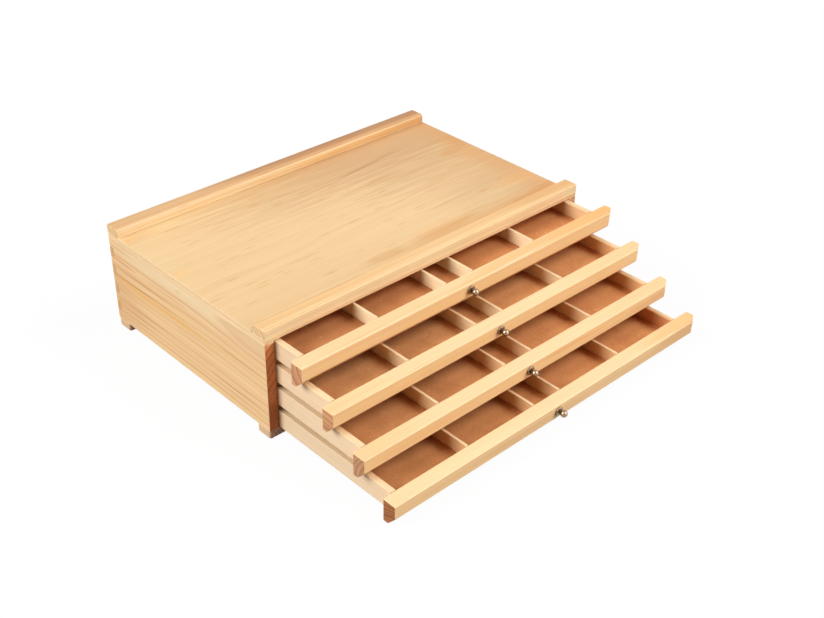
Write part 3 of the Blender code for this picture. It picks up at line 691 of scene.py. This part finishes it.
def make_pine():
    """Pine of one board: rings and streaks darken it, and its ends show rings of their own.

    Vector is the board's own place with X along the grain. Edges are rubbed lighter, and
    pores and latewood sink a little into the surface.
    """
    tree, inlet = new_group(
        "pine",
        {VECTOR: ("Vector", "Pith", "End Pith"),
         NUMBER: ("Ring Width", "Waver", "Ring Depth", "Streak Depth", "Pore Share", "Blush Depth",
                  "End", "Edge", "End Ring Width"),
         COLOUR: ("Light", "Dark", "Blush", "Rubbed", "End Light", "End Dark")},
        "Color", "Roughness", "Height")
    here = inlet["Vector"]
    rings = tree.group(GROWTH_RINGS, {name: inlet[name] for name in
                                      ("Vector", "Pith", "Ring Width", "Waver")})
    fibres = tree.group(FIBRES, {"Vector": here, **FIBRE_SIZE})
    marks = tree.group(PORE_MARKS, {"Vector": here, **PORE_SIZE,
                                    "Share": inlet["Pore Share"]})["Marks"]
    fine = tree.centred(fibres["Fine"])
    streaks = tree.add(fine, tree.centred(fibres["Broad"]), 1.3)
    tone = tree.times(tree.centred(rings["Ring Tone"]), 0.22)
    figure = tree.times(rings["Latewood"], inlet["Ring Depth"])
    figure = tree.add(figure, tone, inlet["Ring Depth"])
    figure = tree.add(figure, streaks, inlet["Streak Depth"])
    figure = tree.add(figure, marks, 0.75)
    figure = tree.math("ADD", figure, 0.16, clamp=True)
    slow = tree.noise(here, BLUSH_SCALE)
    blush = tree.times(tree.ramp(slow, 0.35, 0.7), inlet["Blush Depth"])
    base = tree.blend(blush, inlet["Light"], inlet["Blush"])
    flat = tree.blend(figure, base, inlet["Dark"])
    flat = tree.blend(tree.times(inlet["Edge"], 0.45), flat, inlet["Rubbed"])
    grit = tree.noise(here, GRIT_SCALE)
    ends = tree.group(GROWTH_RINGS, {"Vector": here, "Pith": inlet["End Pith"],
                                     "Ring Width": inlet["End Ring Width"],
                                     "Waver": inlet["Waver"]})
    cut = tree.add(tree.times(grit, 0.5), ends["Latewood"], 0.9)
    cut = tree.add(tree.math("SUBTRACT", cut, 0.25), slow, 0.6, clamp=True)
    end = tree.blend(cut, inlet["End Light"], inlet["End Dark"])
    tree.give("Color", tree.blend(inlet["End"], flat, end))
    rough = tree.add(0.52, fine, 0.25)
    tree.give("Roughness", tree.add(rough, inlet["End"], 0.18))
    height = tree.add(tree.times(fine, 0.6), rings["Latewood"], 0.35)
    tree.give("Height", tree.add(height, marks, -0.9))
    return tree.tree


def make_pressed_board():
    """Hardboard: brown, clouded by slow noise, with fine short fibres lying all ways.

    Here and there a chip of pale wood shows as a light fleck.
    """
    tree, inlet = new_group(
        "pressed_board", {VECTOR: ("Vector",), COLOUR: ("Light", "Dark", "Fleck")},
        "Color", "Roughness", "Height")
    here = inlet["Vector"]
    cloud = tree.noise(here, CLOUD_SCALE, detail=3.0, distortion=0.6)
    fibre = tree.math("MAXIMUM", *[tree.noise(here, scale) for scale in PRESSED_FIBRE_SCALES])
    share = tree.add(0.5, tree.centred(cloud), 1.3)
    share = tree.add(share, tree.math("SUBTRACT", fibre, 0.55), 1.6, clamp=True)
    brown = tree.blend(share, inlet["Dark"], inlet["Light"])
    flecks = tree.group(PORE_MARKS, {"Vector": here, **FLECK_SIZE})["Marks"]
    tree.give("Color", tree.blend(tree.times(flecks, 0.75), brown, inlet["Fleck"]))
    tree.give("Roughness", tree.add(0.5, fibre, 0.3))
    tree.give("Height", fibre)
    return tree.tree


GROWTH_RINGS = make_growth_rings()
FIBRES = make_fibres()
PORE_MARKS = make_pore_marks()
BOARD_EDGES = make_board_edges()
END_FACES = make_end_faces()
LENS_MARK = make_lens_mark()
PINE = make_pine()
PRESSED_BOARD = make_pressed_board()


# What the finishes of pine share: screen colours, depths, and lengths in metres
# The colour given to faces that look up is painted light, for how the light from above falls on
# them
PINE_BOARD = {
    "Up Face Painted Light": (250, 214, 160), "Dark": (214, 150, 88), "Blush": (248, 204, 156),
    "Rubbed": (255, 226, 178), "Ring Depth": 0.34, "Streak Depth": 0.22, "Pore Share": 0.02,
    "Blush Depth": 0.2, "Waver": 0.004, "Ring Width": 0.0046, "Edge Width": 0.0010, "Tilt": 0.0,
    "End Pith": (0.030, -0.020), "End Ring Width": 0.0040, "End Marks": (),
}
# What each kind of board adds or changes
FINISHES = {
    "side": {"Light": (250, 212, 156), "Up Face Painted Light": (236, 196, 142), "Ring Depth": 0.42,
             "Streak Depth": 0.28, "End Light": (226, 168, 114), "End Dark": (186, 122, 76)},
    "top": {"Light": (246, 208, 156), "Up Face Painted Light": (233, 203, 154), "Dark": (200, 142, 82),
            "Ring Depth": 0.10, "Streak Depth": 0.16, "Pore Share": 0.34, "Ring Width": 0.011,
            "Waver": 0.012, "Blush Depth": 0.1, "End Light": (246, 214, 168),
            "End Dark": (240, 204, 156)},
    "lip": {"Light": (250, 226, 177), "Up Face Painted Light": (236, 200, 146), "Ring Width": 0.0030,
            "Ring Depth": 0.22, "Blush Depth": 0.1, "Edge Width": 0.0006,
            "End Light": (255, 222, 168), "End Dark": (216, 164, 112)},
    "rail": {"Light": (248, 204, 146), "Up Face Painted Light": (238, 218, 172), "Dark": (226, 164, 96),
             "Ring Width": 0.0036, "Ring Depth": 0.13, "Streak Depth": 0.13,
             "End Light": (232, 172, 124), "End Dark": (176, 116, 74), "End Ring Width": 0.0032},
    "pale": {"Light": (252, 224, 186), "Up Face Painted Light": (240, 214, 172), "Dark": (224, 176, 130),
             "Blush": (250, 212, 174), "Ring Depth": 0.16, "Streak Depth": 0.12,
             "Ring Width": 0.004, "Edge Width": 0.0006, "End Light": (214, 156, 110),
             "End Dark": (170, 110, 70)},
    "foot": {"Light": (224, 194, 156), "Ring Width": 0.0034, "End Light": (230, 184, 156),
             "End Dark": (182, 137, 111)},
}
PINE_NUMBERS = ("Ring Width", "Waver", "Ring Depth", "Streak Depth", "Pore Share", "Blush Depth",
                "End Ring Width")
PINE_COLOURS = ("Dark", "Blush", "Rubbed", "End Light", "End Dark")
# Each drawer's dividers are coloured darker the lower the drawer: painted shade, for the deeper
# shade under the drawers above.
DIVIDER_PAINTED_SHADE_COLOURS = {1: (246, 231, 192), 2: (240, 217, 174), 3: (230, 194, 145), 4: (226, 184, 132)}
HARDBOARD_COLOURS = {
    # lighter and darker colour of the case's board, 0, and of each drawer's
    0: ((224, 158, 100), (194, 128, 76)),
    1: ((218, 148, 90), (190, 120, 69)),
    2: ((230, 167, 108), (201, 135, 82)),
    3: ((232, 166, 106), (202, 134, 80)),
    4: ((230, 163, 103), (199, 132, 78)),
}
# Painted light on the hardboard: its colour share at the left end and at the right end
HARDBOARD_PAINTED_LIGHT = (0.86, 1.12)
HARDBOARD_FLECKS = (250, 206, 158)
METAL_BRIGHT = (166, 142, 118)
METAL_DARK = (84, 56, 38)
METAL_ROUGHNESS = (0.5, 0.28)
METAL_TIP_REACH = (0.0012, 0.0026)
METAL_RIM_REACH = (0.0018, 0.0032)
# How far a face must look up to take the up-facing colour, which is painted light
PAINTED_UP_FACE_LEVELS = (0.35, 0.90)
PINE_BUMP = {"Strength": 0.35, "Distance": 0.0002}
HARDBOARD_BUMP = {"Strength": 0.3, "Distance": 0.0002}
METAL_BUMP = {"Strength": 0.2, "Distance": 0.0001}

# Each board's seed, and how its pattern's place, its pith line and its light vary with it
SEED_SHIFT = 0.37
CLOUD_SEED_SHIFT = (0.31, 0.17)
FIRST_DRAWER_SEED = 30
SEEDS_PER_DRAWER = 12
BOARD_PITH = ((-0.05, 0.05), (-0.05, -0.01))
RAIL_PITH = ((0.012, 0.035), (-0.03, 0.0))
BOARD_TONE = (0.96, 1.03)

# Grain along Y turns a board's Y onto X, so that every board's grain lies along X
GRAIN_TURN = {"x": 0.0, "y": -math.pi / 2}
GRAIN_AXIS = {"x": (1.0, 0.0, 0.0), "y": (0.0, 1.0, 0.0)}


def dress(piece, material):
    """Puts a material on a CAD node or a piece."""
    piece.data.materials.clear()
    piece.data.materials.append(material)


def put_in_place(piece, node, body, material):
    """Dresses a drawn piece and puts it in place of a CAD node, riding on a body."""
    dress(piece, material)
    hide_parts(node)
    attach(piece, body)


def new_surface(name):
    """A material with its shader and its object coordinates."""
    material = bpy.data.materials.new(name)
    tree = new_tree(material)
    shader = tree.node("BsdfPrincipled", {})
    tree.node("OutputMaterial", {"Surface": shader.outputs[0]})
    place = tree.node("TexCoord", {}).outputs
    return material, tree, shader.inputs, place


def finish_surface(tree, shader, colour, roughness, height, bump):
    """Feeds a material's shader, and lets its height show as a bump."""
    raised = tree.node("Bump", {**bump, "Height": height})
    tree.feed(shader["Base Color"], colour)
    tree.feed(shader["Roughness"], roughness)
    tree.feed(shader["Normal"], raised.outputs[0])


def wood(name, node, finish, grain, seed, pith, tone=1.0, marks=(), **changes):
    """A board's own pine, by its CAD node, its grain, pith line, share of light, and marks.

    Faces that look up take a colour of their own, which is painted light: it stands in for how
    the light from above falls on them. A mark is its colour and strength, its middle in the
    case's own coordinates, its reach along, level across and up across the grain, and, where it
    has one, its lean level and up per length along the grain. The lengths are millimetres.
    End Marks are such marks on the board's ends alone.
    """
    values = {**PINE_BOARD, **FINISHES[finish], **changes}
    low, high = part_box(node)
    middle = (low + high) / 2
    material, tree, shader, place = new_surface(name)
    here = place["Object"]
    tilt = math.radians(values["Tilt"])
    turn = Euler((tilt, 0.0, GRAIN_TURN[grain]) if grain == "y" else (0.0, 0.0, tilt))
    shift = Vector((SEED_SHIFT * seed, 0.0, 0.0)) - turn.to_matrix() @ middle
    mapped = tree.moved(here, shift, turn)
    end = tree.group(END_FACES, {"Normal": place["Normal"], "Grain Axis": GRAIN_AXIS[grain]})
    edge = tree.group(BOARD_EDGES, {"Vector": here, "Low": tuple(low), "High": tuple(high),
                                    "Width": values["Edge Width"]})
    # Faces that look up take the up-facing colour: painted light, for how the light from above
    # falls on them
    up = tree.ramp(tree.parts(place["Normal"])[2], *PAINTED_UP_FACE_LEVELS)
    light = tree.blend(up, toned(values["Light"], tone), toned(values["Up Face Painted Light"], tone))
    laying = (mapped, middle, GRAIN_TURN[grain], here)
    if marks:
        light = add_marks(tree, light, marks, *laying)
    inputs = {"Vector": mapped, "Pith": (0.0, *pith), "End Pith": (0.0, *values["End Pith"]),
              "End": end["End"], "Edge": edge["Edge"], "Light": light,
              **{key: values[key] for key in PINE_NUMBERS},
              **{key: toned(values[key], tone) for key in PINE_COLOURS}}
    if values["End Marks"]:
        inputs["End Light"] = add_marks(tree, inputs["End Light"], values["End Marks"], *laying)
    pine = tree.group(PINE, inputs)
    finish_surface(tree, shader, pine["Color"], pine["Roughness"], pine["Height"], PINE_BUMP)
    return material


def add_marks(tree, light, marks, mapped, middle, turn, here):
    """The light colour with each mark laid over the ones before it."""
    straight = Euler((0.0, 0.0, turn))
    laid = tree.moved(here, straight.to_matrix() @ -middle, straight)
    sway = tree.times(tree.centred(tree.noise(mapped, MARK_SWAY_SCALE, detail=1.0)), MARK_SWAY)
    laid = tree.vector("ADD", laid, tree.whole(0.0, sway, sway))
    streak = tree.noise(mapped, MARK_STREAK_SCALE, detail=3.0)
    for colour, strength, place, reach, *lean in marks:
        spot = straight.to_matrix() @ (CASE_ORIGIN + Vector(place) * MILLIMETRE - middle)
        light = tree.group(LENS_MARK, {
            "Vector": laid, "Middle": tuple(spot), "Reach": tuple(Vector(reach) * MILLIMETRE),
            "Lean": (0.0, *(lean or (0.0, 0.0))), "Streak": streak, "Strength": strength,
            "Base": light, "Mark": shade(*colour)})["Color"]
    return light


def hardboard(name, seed, number):
    """A pressed brown board, its clouds shifted by the seed, and a little lighter to the right:
    painted light.
    """
    material, tree, shader, place = new_surface(name)
    low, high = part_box(name)
    # Painted light: the board is darker at the left and lighter at the right
    side = tree.ramp(tree.parts(place["Object"])[0], low.x, high.x, *HARDBOARD_PAINTED_LIGHT)
    light, dark = HARDBOARD_COLOURS[number]
    along, across = CLOUD_SEED_SHIFT
    mapped = tree.moved(place["Object"], (along * seed, across * seed, 0.0))
    board = tree.group(PRESSED_BOARD, {"Vector": mapped, "Light": shade(*light),
                                       "Dark": shade(*dark), "Fleck": shade(*HARDBOARD_FLECKS)})
    finish_surface(tree, shader, tree.scaled(board["Color"], side), board["Roughness"],
                   board["Height"], HARDBOARD_BUMP)
    return material


def aged_brass(name, node):
    """Dark metal that is rubbed bright where it stands out: away from its axis, and at its tip."""
    low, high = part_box(node)
    middle = (low + high) / 2
    material, tree, shader, place = new_surface(name)
    mapped = tree.moved(place["Object"], (-middle.x, -low.y, -middle.z))
    away = tree.vector("LENGTH", tree.vector("MULTIPLY", mapped, (1, 0, 1)))
    tip = tree.ramp(tree.parts(mapped)[1], *METAL_TIP_REACH, 1.0, 0.0)
    proud = tree.math("MAXIMUM", tree.ramp(away, *METAL_RIM_REACH), tip)
    stain = tree.noise(mapped, STAIN_SCALE, detail=4.0)
    proud = tree.times(proud, tree.ramp(stain, 0.30, 0.55, 0.35, 1.0))
    colour = tree.blend(proud, shade(*METAL_DARK), shade(*METAL_BRIGHT))
    tree.feed(shader["Metallic"], 1.0)
    finish_surface(tree, shader, colour, tree.ramp(proud, 0.0, 1.0, *METAL_ROUGHNESS), stain,
                   METAL_BUMP)
    return material


# Marks on the boards, in millimetres
MILLIMETRE = 0.001
MARK_DEPTH = 9
TOP_LEVEL = 104
LEFT_FACE = -195
DRAWER_SIDE_FACE = 178.3
AMBER = (242, 176, 104)
UMBER = (206, 146, 84)
OLIVE = (196, 150, 96)
ROSE = (246, 204, 160)
CREAM = (255, 226, 176)
YELLOW = (246, 196, 122)
BARK = (120, 76, 46)
BLOSSOM = (255, 231, 184)
HONEY = (224, 188, 138)
GINGER = (230, 181, 124)
RUSSET = (204, 128, 70)
# Painted shade, on the left side's front end low down
PAINTED_SHADE_RUST = (170, 92, 44)
# Painted shade, laid broad over the top board where it darkens towards its rear and right
PAINTED_SHADE_DUSK = (198, 160, 116)
TAN = (172, 124, 82)


def on_top(colour, strength, x, y, along, across, lean=0.0):
    """A mark on the top board, from its place and reach in plan."""
    return colour, strength, (x, y, TOP_LEVEL), (along, across, MARK_DEPTH), lean, 0.0


def on_left_side(colour, strength, y, z, along, up, lean=0.0):
    """A mark on the left side's face, from its place and reach in side view."""
    return colour, strength, (LEFT_FACE, y, z), (along, MARK_DEPTH, up), 0.0, lean


# On the top board, the dusk marks and the wide umber marks at x 192 and 225 are painted shade: the
# top darkens towards its rear and its right as the light falls off.
TOP_MARKS = (
    (PAINTED_SHADE_DUSK, 0.95, 150, 222, 310, 110), (PAINTED_SHADE_DUSK, 0.60, 215, 95, 180, 140),
    (PAINTED_SHADE_DUSK, 0.25, 0, 196, 170, 55), (PAINTED_SHADE_DUSK, 0.28, 95, 136, 90, 36),
    (UMBER, 0.40, -52, 204, 16, 2.2), (UMBER, 0.35, -78, 199, 12, 1.8),
    (UMBER, 0.35, -66, 212, 13, 1.6), (UMBER, 0.30, 225, 150, 80, 70),
    (UMBER, 0.35, -28, 36, 34, 8), (AMBER, 0.25, 42, 38, 52, 12, 0.02),
    (UMBER, 0.35, 42, 36, 56, 9, 0.02), (UMBER, 0.75, 198, 30, 82, 7, 0.04),
    (AMBER, 0.35, 190, 60, 60, 14), (OLIVE, 0.55, 42, 181, 52, 2.4),
    (OLIVE, 0.45, -8, 180, 12, 2.0), (OLIVE, 0.40, 108, 190, 26, 4, 0.04),
    (UMBER, 0.40, 12, 165, 36, 1.8), (UMBER, 0.35, 0, 156, 34, 1.6),
    (UMBER, 0.40, 70, 145, 34, 1.8), (UMBER, 0.40, -62, 190, 10, 4),
    (UMBER, 0.30, -104, 185, 14, 3), (UMBER, 0.40, -150, 206, 16, 2, -0.06),
    (AMBER, 0.55, -188, 214, 10, 2), (YELLOW, 0.35, -186, 132, 16, 6),
    (UMBER, 0.35, -190, 76, 16, 1.6), (UMBER, 0.45, -158, 94, 9, 1.8),
    (UMBER, 0.45, -88, 81, 26, 1.4, -0.02), (UMBER, 0.35, -145, 67, 12, 1.4),
    (UMBER, 0.35, -134, 124, 9, 1.6), (UMBER, 0.30, -28, 124, 12, 1.6),
    (UMBER, 0.35, 72, 70, 26, 1.6), (OLIVE, 0.45, 160, 71, 7, 2),
    (UMBER, 0.45, 129, 64, 9, 2), (OLIVE, 0.45, 150, 122, 22, 4),
    (UMBER, 0.50, 162, 148, 14, 8), (UMBER, 0.45, 188, 165, 12, 16),
    (UMBER, 0.30, -86, 46, 12, 3), (UMBER, 0.35, -168, 52, 12, 1.4),
    (BARK, 0.30, 66, 182, 62, 2.6, 0.13), (BARK, 0.22, 108, 188, 34, 2.2, 0.02),
    (UMBER, 0.35, 54, 151, 50, 1.8), (UMBER, 0.42, 192, 120, 36, 210),
    (UMBER, 0.46, 100, 25, 200, 19), (UMBER, 0.18, -188, 216, 34, 18),
    (UMBER, 0.45, -90, 17, 180, 3.2), (BARK, 0.90, 196, 125, 2.6, 150),
)
LEFT_SIDE_MARKS = (
    # The blossom band along the top is painted light: the upper part of the side is shown lighter.
    (BLOSSOM, 1.00, 90, 93, 190, 16), (UMBER, 0.38, 250, 34, 80, 60),
    (ROSE, 0.50, 30, 84, 60, 9), (YELLOW, 0.94, 160, 58, 110, 6),
    (UMBER, 0.81, 222, 79, 32, 1.8), (UMBER, 0.50, 150, 79, 46, 1.2),
    (UMBER, 0.88, 185, 70, 60, 1.8, -0.01), (UMBER, 1.00, 192, 61.5, 66, 1.7, -0.035),
    (UMBER, 0.56, 45, 63.5, 46, 1.5), (CREAM, 0.70, 75, 51.5, 90, 1.2),
    (UMBER, 0.44, 105, 48, 40, 0.9), (UMBER, 0.75, 185, 35, 64, 1.4),
    (UMBER, 0.44, 30, 35, 30, 1.2), (UMBER, 0.69, 195, 28, 44, 1.3),
    (UMBER, 0.75, 45, 28, 52, 1.2), (UMBER, 0.62, 200, 22, 46, 1.1),
    (UMBER, 0.62, 40, 23, 44, 1.0), (UMBER, 0.50, 120, 17, 110, 1.0),
    # The cream line at z 9.6 below is a painted highlight along the side's bottom edge.
    (CREAM, 0.70, 120, 9.6, 240, 1.3), (UMBER, 0.44, 225, 92, 30, 1.2),
    (UMBER, 0.31, 215, 97, 34, 1.0),
)
LEFT_SIDE_END_MARKS = (
    # On the side's front end, the cream at the top is painted light and the rust-brown at the
    # bottom is painted shade.
    (CREAM, 0.90, (-190, 0, 103), (40, 30, 9)),
    (PAINTED_SHADE_RUST, 0.95, (-190, 0, 12), (40, 30, 42)),
    (HONEY, 0.60, (-190, 240, 55), (60, 30, 200)),
)
REAR_LIP_MARKS = (
    (TAN, 0.95, (215, 234.5, 113), (420, 13, 2.8)), (UMBER, 0.35, (-120, 228, 113), (160, 1.6, 2)),
    (BARK, 0.50, (60, 240, 113), (420, 2.0, 2)), (CREAM, 0.40, (-200, 223, 109), (190, 2.5, 9)),
    (YELLOW, 0.90, (215, 223, 108), (360, 2.5, 9)), (UMBER, 0.62, (240, 223, 108), (210, 2.5, 9)),
    (TAN, 0.90, (240, 234.5, 113), (220, 13, 2.8)), (BARK, 0.16, (215, 234, 113), (170, 14, 2.8)),
    (UMBER, 0.35, (-60, 230, 113), (90, 1.2, 1)), (BARK, 0.30, (40, 236.5, 113), (420, 1.1, 2)),
    (AMBER, 0.45, (90, 228, 113), (330, 2.4, 2)),
)
FRONT_LIP_MARKS = (
    # The umber and tan lines at y 14 to 16.4 are painted shade along the lip's rounded back edge.
    (UMBER, 0.90, (-60, 16.0, 113), (260, 2.0, 2.4)),
    (UMBER, 0.45, (-130, 14, 113), (110, 1.6, 1.2)),
    (TAN, 0.50, (-100, 16.4, 112), (210, 1.8, 3.0)), (AMBER, 0.40, (120, 15, 113), (120, 2.6, 1.6)),
    (CREAM, 0.60, (0, 3.0, 113), (260, 2.0, 1.5)), (UMBER, 0.45, (190, 9, 113), (130, 9, 3)),
    (AMBER, 0.20, (90, 0, 108), (120, 2, 2)),
)
# Painted shade over the inner face of each drawer's right side: darker and redder the lower the
# drawer.
RIGHT_SIDE_PAINTED_SHADE = {
    number: ((colour, 1.0, (DRAWER_SIDE_FACE, y, z), (900, 3.4, 60)),)
    for number, colour, y, z in ((1, HONEY, 80, 90), (2, GINGER, 40, 66), (3, GINGER, 0, 42),
                                 (4, RUSSET, -30, 18))
}
RAIL_ENDS = {
    1: {"End Pith": (-0.016, 0.010), "End Ring Width": 0.0070},
    2: {"End Pith": (0.004, -0.030), "End Ring Width": 0.0048},
    3: {"End Pith": (-0.030, -0.012), "End Ring Width": 0.0040, "End Light": (214, 160, 116),
        "End Dark": (160, 108, 68)},
    4: {"End Pith": (-0.017, -0.047), "End Ring Width": 0.0036, "End Light": (194, 124, 66),
        "End Dark": (108, 48, 16)},
}
RAIL_MARKS = {
    1: ((AMBER, 0.80, (185, -38, 99), (250, 12, 3)), (AMBER, 0.22, (-60, -38, 99), (180, 12, 2)),
        (AMBER, 0.35, (185, -36, 99), (46, 5, 2)), (AMBER, 0.30, (120, -32, 99), (90, 2.2, 1)),
        (YELLOW, 0.40, (-20, -45, 91), (120, 2, 3)), (UMBER, 0.30, (-120, -43, 99), (60, 1, 1))),
    2: ((AMBER, 0.24, (-195, -76, 75), (110, 14, 2)), (AMBER, 0.28, (195, -76, 75), (130, 14, 2)),
        (UMBER, 0.30, (-100, -82, 75), (90, 0.9, 1)), (YELLOW, 0.35, (-60, -84, 67), (120, 2, 3))),
    3: ((AMBER, 0.28, (-195, -113, 51), (110, 14, 2)), (AMBER, 0.26, (195, -113, 51), (120, 14, 2)),
        (AMBER, 0.60, (60, -121, 46), (60, 2, 2.4), 0, -0.02),
        (AMBER, 0.40, (-120, -121, 44), (70, 2, 4)), (UMBER, 0.50, (195, -121, 41), (70, 3, 12)),
        (UMBER, 0.25, (100, -121, 41), (60, 2, 1.2))),
    4: ((OLIVE, 0.25, (-20, -156, 19), (190, 2, 6)), (UMBER, 0.45, (195, -156, 20), (70, 3, 12)),
        (AMBER, 0.55, (190, -149, 27), (90, 14, 3)), (CREAM, 0.25, (-100, -150, 27), (100, 5, 1))),
}


def dress_case():
    """The case's boards keep their solids; its lips and feet are drawn again."""
    boards = (
        ("case_left_side", "side", "y", 1, (-0.020, 0.036),
         {"marks": [on_left_side(*row) for row in LEFT_SIDE_MARKS],
          "End Marks": LEFT_SIDE_END_MARKS,
          "End Light": (240, 152, 92), "End Dark": (190, 104, 54),
          "End Pith": (-0.098, -0.069), "End Ring Width": 0.0058}),
        ("case_right_side", "side", "y", 2, (0.024, -0.010), {"Tilt": 2.0}),
        ("case_back_panel", "side", "x", 3, (0.030, 0.012),
         {"End Light": (236, 190, 132), "End Dark": (200, 142, 88)}),
        ("case_top_board", "top", "x", 4, (-0.06, -0.05),
         {"marks": [on_top(*row) for row in TOP_MARKS]}),
    )
    for name, finish, grain, seed, pith, changes in boards:
        material = wood(name, name, finish, grain, seed, pith, **changes)
        dress(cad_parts[name], material)
    dress(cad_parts["case_bottom_panel"], hardboard("case_bottom_panel", 5, 0))
    for number in DRAWERS[:-1]:
        for index, hand in enumerate(("left", "right")):
            name = "runner_" + str(number) + "_" + hand
            material = wood(name, name, "pale", "y", 6 + number * 2 + index, (0.03, 0.02))
            dress(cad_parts[name], material)
    lips = (
        ("front_lip", False, 20, (0.02, -0.03), {"marks": FRONT_LIP_MARKS}),
        ("rear_lip", True, 21, (-0.02, -0.02),
         {"marks": REAR_LIP_MARKS, "Light": (250, 226, 178), "Ring Depth": 0.26,
          "Streak Depth": 0.20, "Up Face Painted Light": (222, 182, 132), "Dark": (184, 126, 72)}),
    )
    for name, rounded_front, seed, pith, changes in lips:
        piece = draw_lip(name, rounded_front)
        material = wood(piece.name, name, "lip", "x", seed, pith, **changes)
        put_in_place(piece, name, "case", material)
    for index, place in enumerate(("front_left", "front_right", "rear_left", "rear_right")):
        name = "foot_" + place
        piece = draw_foot(name)
        material = wood(piece.name, name, "foot", "y", 24 + index, (0.02, -0.015))
        put_in_place(piece, name, "case", material)


def dress_drawers():
    """Each drawer's boards keep their solids; its rail and knob are drawn again."""
    for number in DRAWERS:
        drawer = "drawer_" + str(number)
        start = FIRST_DRAWER_SEED + number * SEEDS_PER_DRAWER
        boards = [("left_side", "y"), ("right_side", "y"), ("back", "x")]
        boards += [("divider_" + str(divider), "y") for divider in DIVIDERS]
        for index, (part, grain) in enumerate(boards):
            name = drawer + "_" + part
            seed = start + index
            changes = {}
            if part.startswith("divider"):
                # Painted shade: the lower drawers' dividers take darker colours.
                changes = {"Light": DIVIDER_PAINTED_SHADE_COLOURS[number]}
            if part == "right_side":
                # Painted shade over the inner face of the drawer's right side
                changes = {"marks": RIGHT_SIDE_PAINTED_SHADE[number]}
            material = wood(name, name, "pale", grain, seed, pith_line(seed, *BOARD_PITH),
                            varied(seed + 0.7, *BOARD_TONE), **changes)
            dress(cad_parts[name], material)
        name = drawer + "_bottom_panel"
        dress(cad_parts[name], hardboard(name, start + 8, number))
        name = drawer + "_front_rail"
        rail = draw_rail(drawer)
        material = wood(rail.name, name, "rail", "x", start + 9,
                        pith_line(start + 9, *RAIL_PITH), marks=RAIL_MARKS[number],
                        **RAIL_ENDS[number])
        put_in_place(rail, name, drawer, material)
        name = drawer + "_knob"
        knob = draw_knob(drawer)
        put_in_place(knob, name, drawer, aged_brass(knob.name, name))


set_camera()
light_room()
lay_floor()
dress_case()
dress_drawers()
bpy.context.scene.view_settings.view_transform = "Standard"
